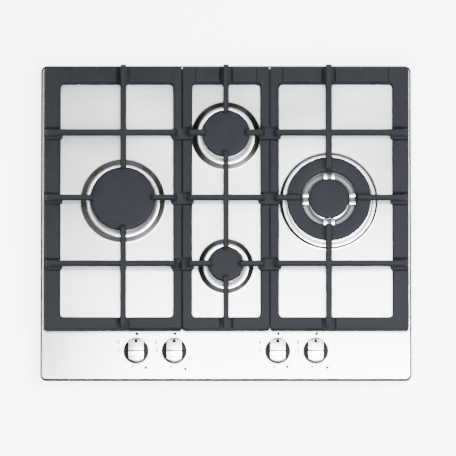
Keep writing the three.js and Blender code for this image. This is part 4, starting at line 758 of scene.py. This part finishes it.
# The skirt is drawn 0.6 mm broader than the casting, because a thin dark rim shrinks to the eye beside the plate.
SKIRT_RADIUS = 19.9
SKIRT_TOP = KNOB_BOTTOM + 3.6
TOP_FACE = 0.89  # a face whose normal rises more than this belongs to the bright top; the others get the painted shade
TOP_SLOPES = [  # (y where a slope starts, how far that is below the top, the slope's normal)
    (-3, 0, (0, -1.2, 8.5)),
    (-11.5, 1.2, (0, -2.2, 8.8)),
    (15.4, 0, (0, 2.9, 8.9)),
]
TOP_GROOVES = [(-3, 1.2, 0.9), (-11.6, 0.7, 0.5)]  # (y of its middle, half width, depth)
DOT_RADIUS = 2.8
DOT_PLACE = 12.5  # from the knob's axis towards the marks


def knob_grip(number, at):
    """The bright grip: a round block with two flat flanks, whose top falls away to the front."""
    bm = bmesh.new()
    disc(bm, GRIP_RADIUS, SKIRT_TOP, segments=128)
    raised(bm, bm.faces[:], (0, 0, KNOB_TOP - SKIRT_TOP))
    bmesh.ops.recalc_face_normals(bm, faces=bm.faces)
    for side in (-1, 1):
        trimmed(bm, (side * GRIP_HALF, 0, 0), (side, 0, 0))
    for y, below, normal in TOP_SLOPES:
        trimmed(bm, (0, y, KNOB_TOP - below), Vector(normal).normalized())
    # A fine groove marks each crease of the top.
    for crease, half, deep in TOP_GROOVES:
        for y in (crease + half, crease, crease - half):
            bmesh.ops.bisect_plane(
                bm, geom=bm.verts[:] + bm.edges[:] + bm.faces[:], dist=0.0001, plane_co=(0, y, 0), plane_no=(0, 1, 0))
        for v in bm.verts:
            if abs(v.co.y - crease) < 0.001 and v.co.z > KNOB_TOP - 4:
                v.co.z -= deep
    bmesh.ops.recalc_face_normals(bm, faces=bm.faces)
    round_edges(bm, 1.6, 5, 60)
    # Faces that don't face up get the painted shade.
    for face in bm.faces:
        face.material_index = 1 if face.normal.z < TOP_FACE else 0
    shift(bm, at)
    grip = piece_from(bm, f"knob_{number}_grip", PLATING, f"control_{number}", [f"knob_{number}"], 24)
    grip.data.materials.append(SHADED_PLATING)


def knob_skirt(number, at):
    """The skirt round the foot of the grip, dark as painted shade."""
    bm = bmesh.new()
    bore, chamfer, top = 5.2, 0.4, SKIRT_TOP + 0.4
    spun(bm, [
        (bore, KNOB_BOTTOM), (SKIRT_RADIUS - chamfer, KNOB_BOTTOM), (SKIRT_RADIUS, KNOB_BOTTOM + chamfer),
        (SKIRT_RADIUS, top - chamfer), (SKIRT_RADIUS - chamfer, top), (bore, top),
    ], closed=True)
    shift(bm, at)
    piece_from(bm, f"knob_{number}_skirt", SKIRT_SHADE, f"control_{number}")


def knob_dot(number, at):
    """The black dot that points to the marks."""
    bm = bmesh.new()
    low, high = KNOB_TOP - 0.3, KNOB_TOP + 0.12
    spun(bm, [(0, low), (DOT_RADIUS, low), (DOT_RADIUS, high), (0, high)], steps=24)
    shift(bm, (at[0], at[1] + DOT_PLACE))
    piece_from(bm, f"knob_{number}_dot", BLACK_INK, f"control_{number}")


for number, at in enumerate(KNOBS, 1):
    knob_grip(number, at)
    knob_skirt(number, at)
    knob_dot(number, at)

# ---------------------------------------------------------------------------------------------------
# Printed marks beside the knobs
# ---------------------------------------------------------------------------------------------------

INK_BOTTOM = PLATE_TOP + 0.01
INK_TOP = PLATE_TOP + 0.12


def printed(name, material, shapes):
    """Thin ink shapes on the plate. A shape is (x, y, radius) for a dot, or with a drop's height for a flame."""
    bm = bmesh.new()
    for shape in shapes:
        x, y, radius = shape[:3]
        verts = disc(bm, radius, INK_BOTTOM, segments=24)
        if len(shape) > 3:
            for v in verts:
                if v.co.y > 0:
                    v.co.y *= shape[3] / radius
                    v.co.x *= 1 - 0.75 * v.co.y / shape[3]
        bmesh.ops.translate(bm, vec=(x, y, 0), verts=verts)
    raised(bm, bm.faces[:], (0, 0, INK_TOP - INK_BOTTOM))
    piece_from(bm, name, material, "hob")


# Places are from the knob's axis. The black dots are drawn larger than printed, so that they keep their strength
# beside the bright plate.
OFF_MARK = (1.2, 28.2, 2.4)
LOW_MARKS = [(15.3, -26.4, 2.3), (17.7, -28.3, 2.3), (15.4, -25, 2.3), (18.3, -26.1, 2.3)]
FLAMES = [(-28.3, 14.2, 2.3, 4.2), (-27.8, 1.2, 1.9, 3.5), (-5.6, -25, 2, 3.6)]
for number, ((x, y), low_mark) in enumerate(zip(KNOBS, LOW_MARKS), 1):
    black = [(x + mark[0], y + mark[1], *mark[2:]) for mark in (OFF_MARK, low_mark)]
    grey = [(x + mark[0], y + mark[1], *mark[2:]) for mark in FLAMES]
    printed(f"knob_{number}_black_marks", BLACK_INK, black)
    printed(f"knob_{number}_grey_marks", GREY_INK, grey)

# ---------------------------------------------------------------------------------------------------
# Tray and what it holds
# ---------------------------------------------------------------------------------------------------

softened("base_tray", "zinc_base_tray", ZINC, "hob", 0.25, 1, 40)


def lying(bm, part, at, way):
    """Adds an upright part laid down along Y: its top points to the back for -1, to the front for 1."""
    bmesh.ops.rotate(part, cent=(0, 0, 0), matrix=Matrix.Rotation(way * math.pi / 2, 3, "X"), verts=part.verts)
    shift(part, at)
    joined(bm, part)


def inlet_elbow():
    """The threaded outlet that the gas supply is screwed to, with its lock nut on the tray's back wall."""
    axis = (250, 225, 18)  # where the upright leg and the lying pipe cross
    height = axis[2]
    ball, bore, bottom = 12, 7.5, 2
    pitch, threads, start, root, crest = 1.81, 5, 2.6, 9.45, 10.4
    bm = bmesh.new()
    profile = [(0, height - 1), (bore, height - 1), (bore, bottom + 0.8), (bore + 0.7, bottom), (root + 0.05, bottom)]
    for i in range(threads):
        z = start + i * pitch
        profile += [(root, z), (crest, z + pitch * 0.42), (crest, z + pitch * 0.58)]
    profile += [(root, start + threads * pitch), (root, start + threads * pitch + 0.9)]
    for degrees in range(-32, 81, 8):
        a = math.radians(degrees)
        profile.append((ball * math.cos(a), height + ball * math.sin(a)))
    profile.append((0, height + ball))
    spun(bm, profile, steps=48)
    shift(bm, axis[:2])
    pipe = bmesh.new()
    reach = 12.6
    spun(pipe, [(0, 0), (9.6, 0), (9.6, reach), (0, reach)], steps=48)
    lying(bm, pipe, axis, 1)
    nut = bmesh.new()
    spun(nut, [(0, 6.2), (11, 6.2), (12.4, 7), (12.4, reach), (0, reach)], steps=6)
    lying(bm, nut, axis, 1)
    piece_from(bm, "brass_inlet_elbow", BRASS, "hob", ["gas_inlet"])


def cable_gland():
    """The ribbed nut of the cable gland, round the terminal box's open cable entry."""
    entry = (-215, 212.1, 13.3)
    bm = bmesh.new()
    nut = bmesh.new()
    spun(nut, [
        (3.8, 0.2), (8.6, 0.2), (8.6, 3.6), (8, 4.4), (7.6, 4.6), (7.4, 5.8), (6.4, 6.7), (4.4, 6.7), (3.8, 6.1),
    ], steps=12, closed=True)
    lying(bm, nut, entry, -1)
    round_edges(bm, 0.3, 2, 25)
    piece_from(bm, "cable_gland_nut", POLYAMIDE, "hob")


inlet_elbow()
cable_gland()

# These keep their CAD shape and only get a finish.
CARRIED = {
    "worktop_seal": FOAM,
    "gas_rail": TUBE,
    "igniter_generator": POLYAMIDE,
    "terminal_box": POLYAMIDE,
}
for name in ("left", "rear", "front", "right"):
    CARRIED[f"{name}_burner_pipe"] = TUBE
for i in range(1, 5):
    CARRIED[f"spindle_{i}"] = ZINC
    CARRIED[f"tap_plug_{i}"] = BRASS
    CARRIED[f"tap_body_{i}"] = BRASS
for name, material in CARRIED.items():
    slots = nodes[name].material_slots
    if not slots:
        nodes[name].data.materials.append(material)
    for slot in slots:
        slot.material = material

# ---------------------------------------------------------------------------------------------------
# Studio
# ---------------------------------------------------------------------------------------------------


def studio_floor():
    """A flat floor of 12 m, so its edge stays out of every view."""
    mesh = bpy.data.meshes.new("studio_floor")
    bm = bmesh.new()
    bmesh.ops.create_grid(bm, x_segments=1, y_segments=1, size=6)
    bm.to_mesh(mesh)
    bm.free()
    floor = bpy.data.objects.new("studio_floor", mesh)
    bpy.context.scene.collection.objects.link(floor)
    mesh.materials.append(FLOOR_PAINT)


def lamp(name, power, size, place, target):
    """A square softbox, in watts and metres."""
    data = bpy.data.lights.new(name, "AREA")
    data.shape = "RECTANGLE"
    data.size = data.size_y = size
    data.energy = power
    made = bpy.data.objects.new(name, data)
    made.location = place
    made.rotation_euler = (Vector(target) - Vector(place)).to_track_quat("-Z", "Y").to_euler()
    bpy.context.scene.collection.objects.link(made)


studio_floor()
lamp("key_softbox", 215, 1.4, (0.46, -0.56, 2.2), (0.46, -0.56, 0))
lamp("wide_softbox", 8, 3.0, (0.3, -0.2, 3.4), (0, 0, 0))

# The air all round is pale, and brighter overhead towards the front right, so the plate runs from grey at its back
# left to white at its front right.
world = bpy.data.worlds.new("studio_dome")
world.use_nodes = True
air = world.node_tree
air.nodes.clear()
way = put(air, "ShaderNodeTexCoord").outputs["Generated"]
split = put(air, "ShaderNodeSeparateXYZ", links={"Vector": way})
along = put(air, "ShaderNodeVectorMath", {1: (0.6, -0.8, 0.0)}, {0: way}, operation="DOT_PRODUCT")
sweep = put(
    air, "ShaderNodeMapRange", {"From Min": -0.45, "From Max": 0.35, "To Min": 0.0, "To Max": 0.5},
    {"Value": along.outputs["Value"]})
height = put(
    air, "ShaderNodeMapRange", {"From Min": 0.72, "From Max": 0.95, "To Min": 0.0, "To Max": 1.0},
    {"Value": split.outputs["Z"]}, interpolation_type="SMOOTHSTEP")
power = put(
    air, "ShaderNodeMath", links={0: sweep.outputs[0], 1: height.outputs[0]}, operation="MULTIPLY")
# A pale screen behind the object and one in front of it light what faces them, and the sides stay darker.
across = put(air, "ShaderNodeMath", links={0: split.outputs["Y"], 1: split.outputs["Y"]}, operation="MULTIPLY")
screens = put(
    air, "ShaderNodeMath", {1: 0.5, 2: 0.5}, {0: across.outputs[0]}, operation="MULTIPLY_ADD")
whole = put(air, "ShaderNodeMath", links={0: power.outputs[0], 1: screens.outputs[0]}, operation="ADD")
sky = put(air, "ShaderNodeBackground", {"Color": colour("#FDFEFF")}, {"Strength": whole.outputs[0]})
put(air, "ShaderNodeOutputWorld", links={"Surface": sky.outputs[0]})
bpy.context.scene.world = world

# The photograph shows the cooktop as from 10 degrees in front of straight above, and its upright edges don't
# converge. So the camera stands far away with a long lens.
TILT = math.radians(10.25)
DISTANCE = 20.0
PICTURE_WIDTH = 456  # pixels
PIXEL = 1.592  # mm on the plate
SENSOR_WIDTH = 36  # mm
camera_data = bpy.data.cameras.new("camera")
camera_data.sensor_width = SENSOR_WIDTH
camera_data.lens = SENSOR_WIDTH * DISTANCE / (PICTURE_WIDTH * PIXEL * MM)
camera = bpy.data.objects.new("camera", camera_data)
target = Vector((3.3, -7.9, PLATE_TOP)) * MM
camera.location = target + Vector((0, -math.sin(TILT), math.cos(TILT))) * DISTANCE
camera.rotation_euler = (TILT, 0, 0)
bpy.context.scene.collection.objects.link(camera)
bpy.context.scene.camera = camera
